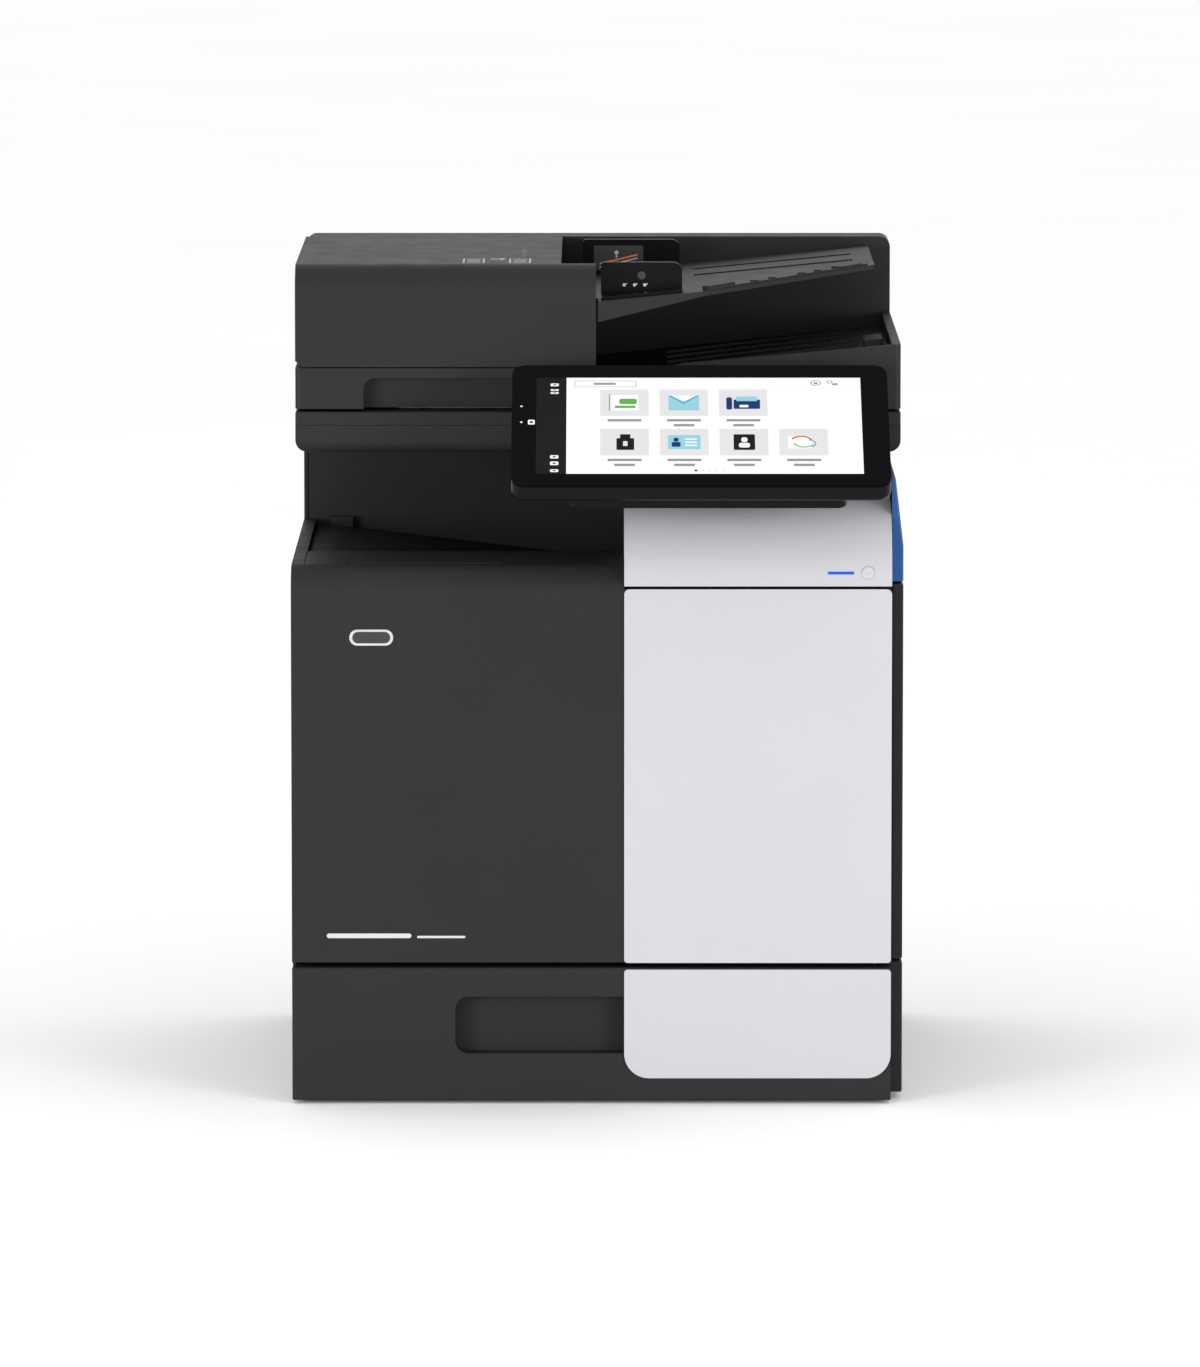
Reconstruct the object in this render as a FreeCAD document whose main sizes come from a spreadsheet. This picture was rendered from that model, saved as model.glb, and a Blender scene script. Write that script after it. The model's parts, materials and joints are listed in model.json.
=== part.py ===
"""A desktop photocopier with a document feeder, a flatbed scanner, a tilting touch panel and one paper
cassette.

Millimetres, +Z up, +X to the right and +Y to the back. The origin is on the floor under the middle of the
whole
machine. Paper leaves the cassette at its right end, climbs past the drum and the fuser on the right, and
comes out
to the left into the open bay under the scanner.
"""
import FreeCAD, Part
import math
import os
import re

import Sketcher

# ---------------------------------------------------------------- driving dimensions, in millimetres and
# degrees

SIZES = {
    # overall
    "width": 420, "depth": 528, "height": 572,
    "panel_reach": 107,          # how far the touch panel stands in front of the doors
    # walls, gaps and rounded edges
    "skin": 2.5, "steel": 1.5, "slack": 0.5, "seam": 1, "flush": 0.1, "running": 0.05, "edge": 1.2,
    "foot_high": 5, "foot_radius": 11, "foot_inset": 36, "frame_gap": 2, "frame_drop": 36,
    # vents, screws and sockets
    "vent_wide": 3, "vent_step": 8, "side_vent_from": 22, "side_vent_low": 40, "side_vent_high": 70,
    "side_vent_step": 7, "side_vent_row": 110,
    "fan_vent_left": 48, "fan_vent_low": 190, "fan_vent_high": 46,
    "main_vent_left": 200, "main_vent_low": 120, "main_vent_high": 60,
    "screw_radius": 1.7, "screw_head": 3.5, "screw_sink": 1.2, "screw_long": 6, "screw_inset": 18,
    "inlet_in": 70, "inlet_up": 30, "inlet_wide": 30, "inlet_high": 22, "inlet_deep": 26, "inlet_wall": 2.5,
    "blade_wide": 2, "blade_high": 4, "switch_step": 30, "switch_wide": 13, "rocker_pin": 1.2,
    "rocker_deep": 9,
    "rocker_high": 16, "ports_in": 150, "ports_up": 60,
    # cassette
    "tray_top": 94.5, "tray_low": 2.5, "tray_front_thick": 19,
    "tub_low": 10, "tub_high": 88, "tub_deep": 262, "tub_wall": 2.5, "tub_side": 14, "tub_right": 38,
    "tub_notch_wide": 200, "tub_notch_deep": 12,
    "grip_left": 112, "grip_low": 35, "grip_high": 74.5, "grip_deep": 15, "grip_round": 9, "grip_under": 30,
    "plate_hinge": 130, "plate_thick": 1.5, "plate_gap": 4, "plate_pin": 2, "plate_lug": 4, "lug_high": 9,
    "lug_half": 5, "paper_wide": 212, "guide_wall": 3, "guide_in": 70, "guide_wide": 52, "guide_foot": 17,
    "guide_foot_in": 8, "guide_foot_high": 4, "guide_below": 14, "end_guide_in": 44, "end_guide_wide": 64,
    "end_foot_long": 22, "end_foot_wide": 40,
    # white column on the right of the front
    "column_wide": 183, "column_step": 9, "overlay": 3, "overlay_proud": 1.5, "overlay_round": 17,
    "overlay_low": 18,
    # front door
    "door_low": 98, "door_round": 22, "door_axis_in": 7, "door_axis_up": 6, "door_pin": 2.5,
    "door_white_top": 355.8, "door_heel": 4, "pocket_low": 24, "pocket_rib": 120, "rib_wide": 6,
    "pocket_top": 9,
    "knuckle_wide": 16, "knuckle_radius": 4, "knuckle_in": 24, "leaf_high": 22,
    # deck and paper bay
    "deck_top": 371, "deck_deep": 106, "notch_left": 37.5, "notch_wide": 106, "notch_deep": 9,
    "side_flange": 8.5, "bay_deep": 226, "bay_right": 115, "floor_drop": 5, "tray_slope": 6.857,
    "tray_thick": 2.5,
    "tray_flat": 30, "tray_round": 30, "slot_low": 388, "slot_high": 404, "lip_over": 8, "lip_long": 20,
    "stop_left": 19, "stop_wide": 16, "stop_deep": 8, "stop_high": 7,
    # right side
    "side_back": 23, "side_thick": 7, "door_side_in": 0.6, "side_top": 430, "side_bend": 383,
    "side_lean": 5.5, "side_door_top": 357, "side_pin": 1.5, "side_knuckle": 12, "side_knuckle_radius": 3,
    "bypass_low": 124, "bypass_high": 330, "bypass_wide": 232, "bypass_thick": 4.5, "bypass_front": 60,
    "bypass_pin_long": 5, "scoop_wide": 80, "scoop_high": 18, "scoop_in": 6,
    "pull_bar_wide": 120, "pull_bar_up": 25, "pull_bar_high": 9,
    "carry_back": 100, "carry_wide": 90, "carry_low": 36, "carry_high": 24,
    # white shoulder under the touch panel
    "shoulder_low": 357.8, "shoulder_top": 412, "shoulder_round": 50, "shoulder_run": 62,
    "shoulder_deep": 102.5,
    "light_wide": 18, "light_high": 2, "light_from_edge": 44, "light_low": 366, "light_deep": 8,
    "button_radius": 4.5, "button_from_edge": 16.3, "button_deep": 7,
    # scanner
    "scan_low": 443, "scan_seam": 462, "scan_top": 471.5, "scan_back": 67, "scan_deep": 340,
    "scan_inset": 1.6,
    "scan_round": 9, "glass_thick": 3, "glass_lip": 1.5, "glass_hold": 5, "glass_left": 70, "glass_right": 30,
    "glass_front": 32, "glass_wide": 222, "strip_left": 32, "strip_wide": 20,
    "carriage_wide": 22, "carriage_high": 14, "carriage_gap": 3, "carriage_over": 8, "lamp_slot": 10,
    "lamp_deep": 4, "rail_radius": 3, "rail_up": 11,
    # document feeder
    "lid_low": 473.5, "lid_slab": 485, "lid_seam": 501.5, "lid_deep": 319, "lid_rear": 42, "feeder_wide": 207,
    "pad_gap": 0.3, "lid_axis_out": 9, "lid_axis_up": 479, "box_seam": 514, "box_top": 10, "hinge_apart": 260,
    "hinge_wide": 22, "hinge_pin": 3, "hinge_radius": 5, "hinge_ear": 6, "strip_open": 4,
    "pull_left": 47, "pull_wide": 150, "pull_deep": 12, "pull_top": 494.7, "pull_round": 7.5,
    "ramp_start": 487, "ramp_end": 509, "ramp_rim": 9, "rim_wide": 6, "rim_run": 60,
    "cover_wall": 2.5, "cover_low": 0.8, "cover_notch": 24, "cover_lip": 24, "cover_crown": 20,
    "cover_in": 6.5,
    "cover_up": 7, "cover_pin": 2.5, "cover_heel": 5, "heel_up": 2, "ear_radius": 3.7, "ear_deep": 6,
    "ear_reach": 7.2, "ear_post": 5,
    "feed_frame_in": 14, "feed_plate": 3, "feed_plate_up": 12, "feed_bridge": 60, "feed_bridge_down": 8,
    "feed_shaft": 3, "feed_roller": 9, "feed_roller_in": 60, "feed_axis_in": 34, "feed_axis_down": 4,
    "sheet_in": 545, "sheet_rise": 21, "sheet_thick": 3, "sheet_right": 16, "sheet_axis_in": 5,
    "sheet_axis_up": 4, "sheet_pin": 2, "sheet_boss": 4, "sheet_taper": 105, "sheet_straight": 74,
    "sheet_fascia": 14, "guide_long": 58, "guide_high": 19.5, "guide_thick": 3, "guide_reach": 11,
    "guide_base": 2.25, "guide_lift": 0.15, "guide_front_in": 30, "guide_rear_in": 34, "guide_base_wide": 22,
    # touch panel
    "panel_wide": 256, "panel_tall": 155, "panel_thick": 14, "panel_right": 12.5, "panel_tilt": 26.5,
    "panel_low": 425, "panel_round": 10, "glass_face": 1.6, "bulge_thick": 9, "bulge_low": 8,
    "bulge_tall": 104, "bulge_wide": 188, "bulge_left": 38.5, "bulge_round": 7, "arm_wide": 48,
    "arm_right": 80,
    "pivot_up": 60, "pivot_back": 22, "barrel_radius": 6.5, "barrel_pin": 3, "barrel_wide": 7,
    "arm_up": 5, "arm_thick": 12,
    # rollers, toner and drive
    "journal": 4, "path": 90, "drum_radius": 15, "drum_high": 205, "transfer_radius": 8, "fuser_radius": 13,
    "fuser_high": 300, "exit_radius": 7, "exit_wide": 18, "exit_step": 52, "exit_first": 26,
    "pickup_radius": 12, "pickup_wide": 40, "nip": 0.2, "frame_front": 41, "frame_rear": 86,
    "coupler_radius": 14, "coupler_deep": 12, "coupler_hole": 2, "coupler_ring": 9,
    "motor_radius": 21, "motor_long": 34, "motor_cap": 4, "motor_cap_radius": 9, "motor_bearing": 6,
    "motor_foot": 6, "motor_foot_out": 19, "motor_foot_top": 17, "motor_foot_high": 13,
    "toner_wide": 130, "toner_low": 236, "toner_high": 316, "toner_right": 226, "toner_proud": 20,
    "toner_rear": 20, "handle_deep": 10, "handle_in": 40, "handle_rim": 20,
    "laser_gap": 30, "laser_end": 12, "laser_low": 42, "laser_below": 22, "shelf_in": 20, "shelf_wide": 130,
    "shelf_low": 50, "shelf_thick": 6,
    # fan, power supply and main board
    "fan_back": 50, "fan_up": 75, "fan_half": 30, "fan_bore": 28, "fan_thick": 20, "fan_hub": 8, "strut": 2,
    "fan_pin": 1.5, "rotor_hub": 11, "supply_left": 130, "supply_wide": 170, "supply_high": 70,
    "supply_front": 12, "supply_back": 6, "board_right": 30, "board_wide": 170, "board_low": 40,
    "board_high": 170, "board_thick": 1.6, "board_back": 16, "standoff": 6, "standoff_in": 5,
}


class DesignError(Exception):
    """A feature that failed, or a piece that isn't a valid solid."""


doc = FreeCAD.newDocument("photocopier")
sheet = doc.addObject("Spreadsheet::Sheet", "dims")
for row, (alias, number) in enumerate(SIZES.items(), start=1):
    sheet.set(f"A{row}", str(number))
    sheet.setAlias(f"A{row}", alias)
doc.recompute()

WORD = re.compile(r"[a-z][a-z_]+")


def in_sheet(expression):
    """The expression with each size's name turned into a reference to its cell."""
    return WORD.sub(lambda word: f"dims.{word.group()}" if word.group() in SIZES else word.group(),
                    str(expression))


def bind(thing, prop, expression):
    """Ties a property to an expression of the sheet's sizes."""
    thing.setExpression(prop, in_sheet(expression))


# ---------------------------------------------------------------- how a piece is made

PIECES = []
NORMAL = {"XY": "z", "XZ": "y", "YZ": "x"}
TURN = {"x": (FreeCAD.Vector(0, 1, 0), 90), "y": (FreeCAD.Vector(1, 0, 0), -90),
        "z": (FreeCAD.Vector(0, 0, 1), 0)}
CLOSE = 0.01


class Piece:
    """One sub-part: a PartDesign body whose features are bound to the sheet."""

    def __init__(self, label):
        self.body = doc.addObject("PartDesign::Body", label)
        self.body.Label = label
        PIECES.append(self.body)

    def feature(self, kind, name):
        return self.body.newObject(f"PartDesign::{kind}", f"{self.body.Name}_{name}")

    def block(self, x, y, z, cut=False):
        """A box between two expressions on each axis; with cut, it is taken away."""
        made = self.feature("SubtractiveBox" if cut else "AdditiveBox", "box")
        for prop, axis, span in (("Length", "x", x), ("Width", "y", y), ("Height", "z", z)):
            bind(made, prop, f"({span[1]}) - ({span[0]})")
            bind(made, f"Placement.Base.{axis}", span[0])
        made.Refine = not cut
        return self

    def rod(self, axis, centre, radius, span, cut=False):
        """A cylinder along an axis. centre holds the two other coordinates, in x, y, z order."""
        made = self.feature("SubtractiveCylinder" if cut else "AdditiveCylinder", "rod")
        made.Placement = FreeCAD.Placement(FreeCAD.Vector(), FreeCAD.Rotation(*TURN[axis]))
        bind(made, "Radius", radius)
        bind(made, "Height", f"({span[1]}) - ({span[0]})")
        others = [name for name in "xyz" if name != axis]
        for name, value in zip(others, centre):
            bind(made, f"Placement.Base.{name}", value)
        bind(made, f"Placement.Base.{axis}", span[0])
        return self

    def sketch(self, plane, outline, offset):
        """A closed polygon on an origin plane. Each corner is (a, b) or (a, b, radius), as expressions."""
        made = self.body.newObject("Sketcher::SketchObject", f"{self.body.Name}_sketch")
        origin = next(o for o in self.body.Origin.OriginFeatures if o.Role == f"{plane}_Plane")
        made.AttachmentSupport = [(origin, "")]
        made.MapMode = "FlatFace"
        bind(made, "AttachmentOffset.Base.z", offset)
        spots = [(math.cos(2 * math.pi * n / len(outline)), math.sin(2 * math.pi * n / len(outline)))
                 for n in range(len(outline))]
        for here, there in zip(spots, spots[1:] + spots[:1]):
            made.addGeometry(Part.LineSegment(FreeCAD.Vector(*here, 0), FreeCAD.Vector(*there, 0)), False)
        for n in range(len(outline)):
            made.addConstraint(Sketcher.Constraint("Coincident", n, 2, (n + 1) % len(outline), 1))
        for n, corner in enumerate(outline):
            for kind, value, spot in (("DistanceX", corner[0], spots[n][0]),
                                      ("DistanceY", corner[1], spots[n][1])):
                index = made.addConstraint(Sketcher.Constraint(kind, -1, 1, n, 1, spot))
                made.renameConstraint(index, f"{kind}{n}")
                bind(made, f"Constraints.{kind}{n}", value)
        return made

    def prism(self, plane, outline, span, cut=False):
        """A polygon on a plane, extruded between two expressions along the plane's normal."""
        away = plane == "XZ"                       # this plane's normal points along -Y
        start = span[1] if away else span[0]
        made_from = self.sketch(plane, outline, f"-({start})" if away else start)
        made = self.feature("Pocket" if cut else "Pad", "prism")
        made.Profile = (made_from, [""])
        bind(made, "Length", f"({span[1]}) - ({span[0]})")
        made.Reversed = cut
        radii = dict.fromkeys(corner[2] for corner in outline if len(corner) > 2)
        for radius in radii:
            self.corners(plane, radius, *(corner[:2] for corner in outline if corner[2:] == (radius,)))
        return self

    def corners(self, plane, radius, *places):
        """Rounds the edges that run along a plane's normal through the places given on it."""
        doc.recompute()
        flat = [axis for axis in "xyz" if axis != NORMAL[plane]]
        points = [{axis: self.value(place) for axis, place in zip(flat, places_of)} for places_of in places]
        return self.fillet(radius, [name for name, edge in self.edges() if on_line(edge, points)])

    def value(self, expression):
        """What an expression comes to now, used only to find an edge."""
        return float(self.body.evalExpression(in_sheet(expression)))

    def edges(self):
        return [(f"Edge{n}", edge) for n, edge in enumerate(self.body.Tip.Shape.Edges, start=1)]

    def fillet(self, radius, names, kind="Fillet"):
        if not names:
            raise DesignError(f"{self.body.Label}: no edge to round at {radius}, after {self.body.Tip.Name}")
        base = self.body.Tip
        made = self.feature(kind, kind.lower())
        made.Base = (base, names)
        bind(made, "Radius" if kind == "Fillet" else "Size", radius)
        return self

    def soften(self, radius, *places, kind="Fillet"):
        """Rounds every edge that lies on all of the named sides of the piece's box, such as '+z -y'."""
        doc.recompute()
        box = FreeCAD.BoundBox()
        for vertex in self.body.Tip.Shape.Vertexes:
            box.add(vertex.Point)
        names = [name for name,
                 edge in self.edges() if any(lies_on(edge, box, place.split()) for place in places)]
        return self.fillet(radius, names, kind)

    def slots(self, plane, first, size, step, count, span):
        """A row of equal rectangular slots cut through a wall. first and size are (a, b), step is along a."""
        for n in range(count):
            low, high = f"{first[0]} + {n} * ({step})", f"{first[0]} + {n} * ({step}) + ({size[0]})"
            sides = (low, high), (first[1], f"{first[1]} + ({size[1]})")
            x, y, z = {"XZ": (sides[0], span, sides[1]), "YZ": (span, *sides), "XY": (*sides, span)}[plane]
            self.block(x, y, z, cut=True)
        return self


def on_line(edge, points):
    """Whether both ends of an edge have the coordinates of one of the points."""
    if len(edge.Vertexes) != 2:
        return False
    return any(all(abs(getattr(end.Point, axis) - place) < CLOSE for end in edge.Vertexes for axis,
                   place in point.items())
               for point in points)


def lies_on(edge, box, sides):
    """Whether an edge lies on all the named sides of a box."""
    limits = {"+x": box.XMax, "-x": box.XMin, "+y": box.YMax, "-y": box.YMin, "+z": box.ZMax, "-z": box.ZMin}
    reach = edge.BoundBox
    spans = {"x": (reach.XMin, reach.XMax), "y": (reach.YMin, reach.YMax), "z": (reach.ZMin, reach.ZMax)}
    return all(abs(end - limits[side]) < CLOSE for side in sides for end in spans[side[1]])


# ---------------------------------------------------------------- places that many pieces share

LEFT, RIGHT = "(-width / 2)", "(width / 2)"
BACK = "(depth / 2)"
FRONT = "(-depth / 2 + panel_reach)"
DARK_FRONT = f"({FRONT} + overlay_proud)"
COLUMN_RIGHT = f"({RIGHT} - column_step)"
COLUMN_LEFT = f"({COLUMN_RIGHT} - column_wide)"
SIDE_FRONT = f"({FRONT} + side_back)"
SIDE_OUT = f"({RIGHT} - door_side_in)"
SIDE_IN = f"({COLUMN_RIGHT} + slack)"
DECK_BACK = f"({FRONT} + deck_deep)"
BAY_BACK = f"({DECK_BACK} + bay_deep)"
BAY_RIGHT = f"({RIGHT} - bay_right)"
SCAN_LEFT, SCAN_RIGHT = f"({LEFT} + scan_inset)", f"({RIGHT} - scan_inset)"
SCAN_FRONT = f"({FRONT} + scan_back)"
SCAN_REAR = f"({SCAN_FRONT} + scan_deep)"
LID_REAR = f"({SCAN_FRONT} + lid_deep)"
LID_BOX = f"({LID_REAR} - lid_rear)"
FEEDER_RIGHT = f"({SCAN_LEFT} + feeder_wide)"
FRAME_FRONT, FRAME_REAR = f"({FRONT} + frame_front)", f"({BACK} - frame_rear)"
FRAME_BACK = f"({FRAME_REAR} + steel)"
PATH = f"({RIGHT} - path)"


def grown(span, by):
    """A span made longer at both ends, or shorter if by is below 0."""
    return f"{span[0]} - ({by})", f"{span[1]} + ({by})"


def about(middle, half):
    """The span that reaches a half width to each side of a middle."""
    return f"{middle} - {half}", f"{middle} + {half}"


def on(start, length):
    """The span of a length that begins at start."""
    return start, f"{start} + {length}"


# ---------------------------------------------------------------- base, frames and covers

def feet():
    piece = Piece("rubber_feet")
    for x in (f"{LEFT} + foot_inset", f"{RIGHT} - foot_inset"):
        for y in (f"{FRONT} + foot_inset + side_back", f"{BACK} - foot_inset"):
            piece.rod("z", (x, y), "foot_radius", ("0", "foot_high"))
    piece.soften("edge", "-z")


def bottom_plate():
    piece = Piece("bottom_plate")
    sides, ends = (f"{LEFT} + skin", COLUMN_RIGHT), (SIDE_FRONT, f"{BACK} - skin")
    piece.block(grown(sides, "-slack"), grown(ends, "-slack"), on("foot_high", "steel"))
    piece.soften("edge", "-x -y", "+x -y", "-x +y", "+x +y")


ROLLERS = {  # name: (x, z, radius)
    "photo_drum": (f"{PATH} - nip - drum_radius", "drum_high", "drum_radius"),
    "transfer_roller": (f"{PATH} + nip + transfer_radius", "drum_high", "transfer_radius"),
    "fuser_roller": (f"{PATH} - nip - fuser_radius", "fuser_high", "fuser_radius"),
    "pressure_roller": (f"{PATH} + nip + fuser_radius", "fuser_high", "fuser_radius"),
    "pickup_roller": (f"{PATH} + pickup_radius", "door_low + pickup_radius", "pickup_radius"),
}
EXIT_AXIS = (f"({BAY_RIGHT} + skin + slack + exit_radius)", "slot_low")
TONER_RIGHT = f"({RIGHT} - toner_right)"
TONER_LEFT = f"({TONER_RIGHT} - toner_wide)"


def roller_bores(piece, span):
    for x, z, _ in ROLLERS.values():
        piece.rod("y", (x, z), "journal + running", span, cut=True)


def frames():
    """The two steel plates that carry the rollers. The front one has a window for the toner cartridge."""
    sides = (f"{LEFT} + skin + frame_gap", f"{COLUMN_RIGHT} - frame_gap")
    top = "deck_top - frame_drop"
    front = Piece("front_frame")
    span = on(FRAME_FRONT, "steel")
    front.block(sides, span, ("door_low", top))
    roller_bores(front, span)
    front.block(grown((TONER_LEFT, TONER_RIGHT), "seam"), span, grown(("toner_low", "toner_high"), "seam"),
                cut=True)
    rear = Piece("rear_frame")
    span = (FRAME_REAR, FRAME_BACK)
    rear.block(sides, span, ("foot_high + steel", top))
    rear.block((f"{BAY_RIGHT} + skin + slack", sides[1]), span, (top, "scan_low - slack"))
    roller_bores(rear, span)
    rear.rod("y", EXIT_AXIS, "journal + running", span, cut=True)


SIDE_VENTS, SIDE_VENT_ROWS = 8, 2


def left_cover():
    piece = Piece("left_cover")
    wall = on(LEFT, "skin")
    front = f"max({FRONT} + door_round; {TUB_FRONT}) + slack"       # behind the door and the cassette's front
    bay_rear = f"{BAY_BACK} - seam"
    piece.block(wall, (front, BACK), ("foot_high", "deck_top"))
    piece.block(on(LEFT, "side_flange"), (front, bay_rear), ("deck_top - skin", "deck_top"))
    piece.block(wall, (bay_rear, BACK), ("deck_top", "scan_low - seam"))
    piece.soften("edge", "-x +z", "-x -y", "-x +y")
    for row in range(SIDE_VENT_ROWS):
        first = (f"{BAY_BACK} + side_vent_from", f"door_low + side_vent_low + {row} * side_vent_row")
        piece.slots("YZ", first, ("vent_wide", "side_vent_high"), "side_vent_step", SIDE_VENTS, wall)


UPPER_LOW = "(side_door_top + 2 * seam)"
UPPER_FRONT = f"({SIDE_FRONT} + 2 * overlay)"
UPPER_SIDE = [(SIDE_IN, UPPER_LOW), (SIDE_OUT, UPPER_LOW), (SIDE_OUT, "side_bend", "8 * edge"),
              (f"{SIDE_OUT} - side_lean", "side_top", "edge"), (SIDE_IN, "side_top")]


def right_covers():
    """The cover beside the cassette, the one above and behind the side door, and the coloured trim on its
    front."""
    lower = Piece("right_lower_cover")
    top = "tray_top + seam"
    wall = (f"{SIDE_OUT} - skin", SIDE_OUT)
    lower.block((SIDE_IN, SIDE_OUT), (SIDE_FRONT, BACK), ("foot_high", top))
    lower.block((SIDE_IN, wall[0]), grown((SIDE_FRONT, BACK), "-skin"), ("foot_high", f"{top} - skin"),
                cut=True)
    lower.block(wall, on(f"{BACK} - carry_back - carry_wide", "carry_wide"),
                on("foot_high + carry_low", "carry_high"), cut=True)
    lower.soften("edge", "+x -y", "+x +z", "+x +y", "+x -z")
    upper = Piece("right_upper_cover")
    upper.prism("XZ", UPPER_SIDE, (UPPER_FRONT, BACK))
    upper.block((SIDE_IN, f"{SIDE_OUT} - side_lean - skin / 2"), grown((UPPER_FRONT, BACK), "-skin"),
                grown((UPPER_LOW, "side_top"), "-skin"), cut=True)
    rear_part = (f"{BAY_BACK} + seam", BACK)
    upper.block((SIDE_IN, SIDE_OUT), rear_part, ("door_low", UPPER_LOW))
    upper.block((SIDE_IN, wall[0]), grown(rear_part, "-skin"), ("door_low", f"{UPPER_LOW} + skin"), cut=True)
    upper.soften("edge", "+x +y", "+x -z")
    trim = Piece("accent_trim")
    trim.prism("XZ", UPPER_SIDE, (SIDE_FRONT, f"{UPPER_FRONT} - flush"))
    trim.soften("edge", "-y +x")


INLET_X, INLET_LOW = f"({LEFT} + inlet_in)", "(foot_high + inlet_up)"
SWITCH_X = f"({INLET_X} + switch_step)"
ROCKER_AXIS = (f"({BACK} - rocker_deep + edge * 2.5)", f"({INLET_LOW} + inlet_high / 2)")
PORT_X, PORT_LOW = f"({RIGHT} - ports_in)", "(door_low + ports_up)"
PORTS = [(0, 17, 14), (26, 14, 7), (48, 14, 7), (70, 34, 12)]   # how far right, how wide, how high
VENTS = [("fan_vent", 14), ("main_vent", 16)]                   # the sizes' first words, and how many slots
SCREWS = [(x, z) for x in (f"{LEFT} + screw_inset", f"{COLUMN_RIGHT} - screw_inset")
          for z in ("foot_high + screw_inset", "door_low + 100", "scan_low - seam - screw_inset + 3")]


def rear_cover():
    """The rear panel with its vents, the openings for the sockets and its six screws."""
    piece = Piece("rear_cover")
    wall = (f"{BACK} - skin", BACK)
    sink = (f"{BACK} - screw_sink", BACK)
    piece.block((f"{LEFT} + skin + slack", f"{COLUMN_RIGHT} - seam"), wall,
                ("foot_high + 2 * steel", "scan_low - seam"))
    piece.soften("edge", "+y +x", "+y -x", "+y +z", "+y -z")
    for name, count in VENTS:
        first = (f"{LEFT} + {name}_left", f"door_low + {name}_low")
        piece.slots("XZ", first, ("vent_wide", f"{name}_high"), "vent_step", count, wall)
    for middle, wide in ((INLET_X, "inlet_wide"), (SWITCH_X, "switch_wide")):
        piece.block(about(middle, f"{wide} / 2"), wall, on(INLET_LOW, "inlet_high"), cut=True)
    for right, wide, high in PORTS:
        piece.block(on(f"{PORT_X} + {right}", wide), wall, on(PORT_LOW, high), cut=True)
    screws = Piece("rear_screws")
    for spot in SCREWS:
        piece.rod("y", spot, "screw_radius + running", wall, cut=True)
        piece.rod("y", spot, "screw_head + 4 * running", sink, cut=True)
        screws.rod("y", spot, "screw_head", (sink[0], f"{BACK} - flush"))
        screws.rod("y", spot, "screw_radius", (f"{BACK} - screw_long", sink[0]))


# ---------------------------------------------------------------- front: cassette and door

GRIP = [(f"{LEFT} + grip_left", "grip_low", "grip_round"), (f"{LEFT} + grip_left", "grip_high", "grip_round"),
        (f"{COLUMN_LEFT} + grip_under", "grip_high"), (f"{COLUMN_LEFT} + grip_under", "grip_low")]
TUB_FRONT = f"({DARK_FRONT} + tray_front_thick)"
TUB_LEFT, TUB_RIGHT = f"({LEFT} + tub_side)", f"({COLUMN_RIGHT} - tub_right)"
TUB_X, TUB_Y = (TUB_LEFT, TUB_RIGHT), (TUB_FRONT, f"({TUB_FRONT} + tub_deep)")
TUB_FLOOR = "(tub_low + tub_wall)"
TUB_MIDDLE = f"({TUB_FRONT} + tub_deep / 2)"
PLATE_AXIS = (f"({TUB_LEFT} + plate_hinge)", f"({TUB_FLOOR} + lug_half)")


def cassette():
    cassette_front()
    cassette_tub()
    paper_lift_plate()
    for name, sign in (("paper_guide_front", "-"), ("paper_guide_rear", "+")):
        paper_side_guide(name, sign)
    paper_end_guide()


def cassette_front():
    """The cassette's front, with a finger grip that runs in behind the white panel."""
    front = Piece("cassette_front")
    front.block((LEFT, COLUMN_RIGHT), (DARK_FRONT, TUB_FRONT), ("tray_low", "tray_top"))
    front.prism("XZ", GRIP, on(DARK_FRONT, "grip_deep"), cut=True)
    front.soften("edge", "-y -z", "-y +z", "-y -x", "-x +z", "-x -z")
    panel = Piece("cassette_white_panel")
    low, high = "overlay_low", "tray_top - edge"
    outline = [(COLUMN_LEFT, low, "overlay_round"), (COLUMN_RIGHT, low, "overlay_round"),
               (COLUMN_RIGHT, high, "2 * edge"), (COLUMN_LEFT, high, "2 * edge")]
    panel.prism("XZ", outline, (FRONT, DARK_FRONT))


def cassette_tub():
    """The open paper tub. Two lugs on its floor hold the lift plate's hinge."""
    tub = Piece("cassette_tub")
    inside = grown(TUB_Y, "-tub_wall")
    tub.block(TUB_X, TUB_Y, ("tub_low", "tub_high"))
    tub.block(grown(TUB_X, "-tub_wall"), inside, (TUB_FLOOR, "tub_high"), cut=True)
    tub.block((f"{TUB_RIGHT} - tub_wall", TUB_RIGHT), about(TUB_MIDDLE, "tub_notch_wide / 2"),
              ("tub_high - tub_notch_deep", "tub_high"), cut=True)
    for start in (inside[0], f"{inside[1]} - plate_lug"):
        tub.block(about(PLATE_AXIS[0], "lug_half"), on(start, "plate_lug"), on(TUB_FLOOR, "lug_high"))
    tub.rod("y", PLATE_AXIS, "plate_pin + running", inside, cut=True)


def paper_lift_plate():
    """The steel plate that lifts the paper's right end, hinged on a cross pin."""
    plate = Piece("paper_lift_plate")
    inside = grown(TUB_Y, "-tub_wall")
    ends, thick = grown(inside, "-lug_half"), on(f"({TUB_FLOOR} + plate_gap)", "plate_thick")
    plate.block((f"{PLATE_AXIS[0]} + plate_lug", f"{TUB_RIGHT} - tub_wall - plate_lug"), ends, thick)
    plate.block((f"{PLATE_AXIS[0]} - plate_pin", f"{PLATE_AXIS[0]} + lug_half"), ends, thick)
    plate.soften("6 * edge", "+x -y", "+x +y")
    plate.rod("y", PLATE_AXIS, "plate_pin", grown(inside, "-running"))


GUIDE_Z = (f"{TUB_FLOOR} + running", "tub_high - guide_below")


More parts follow.
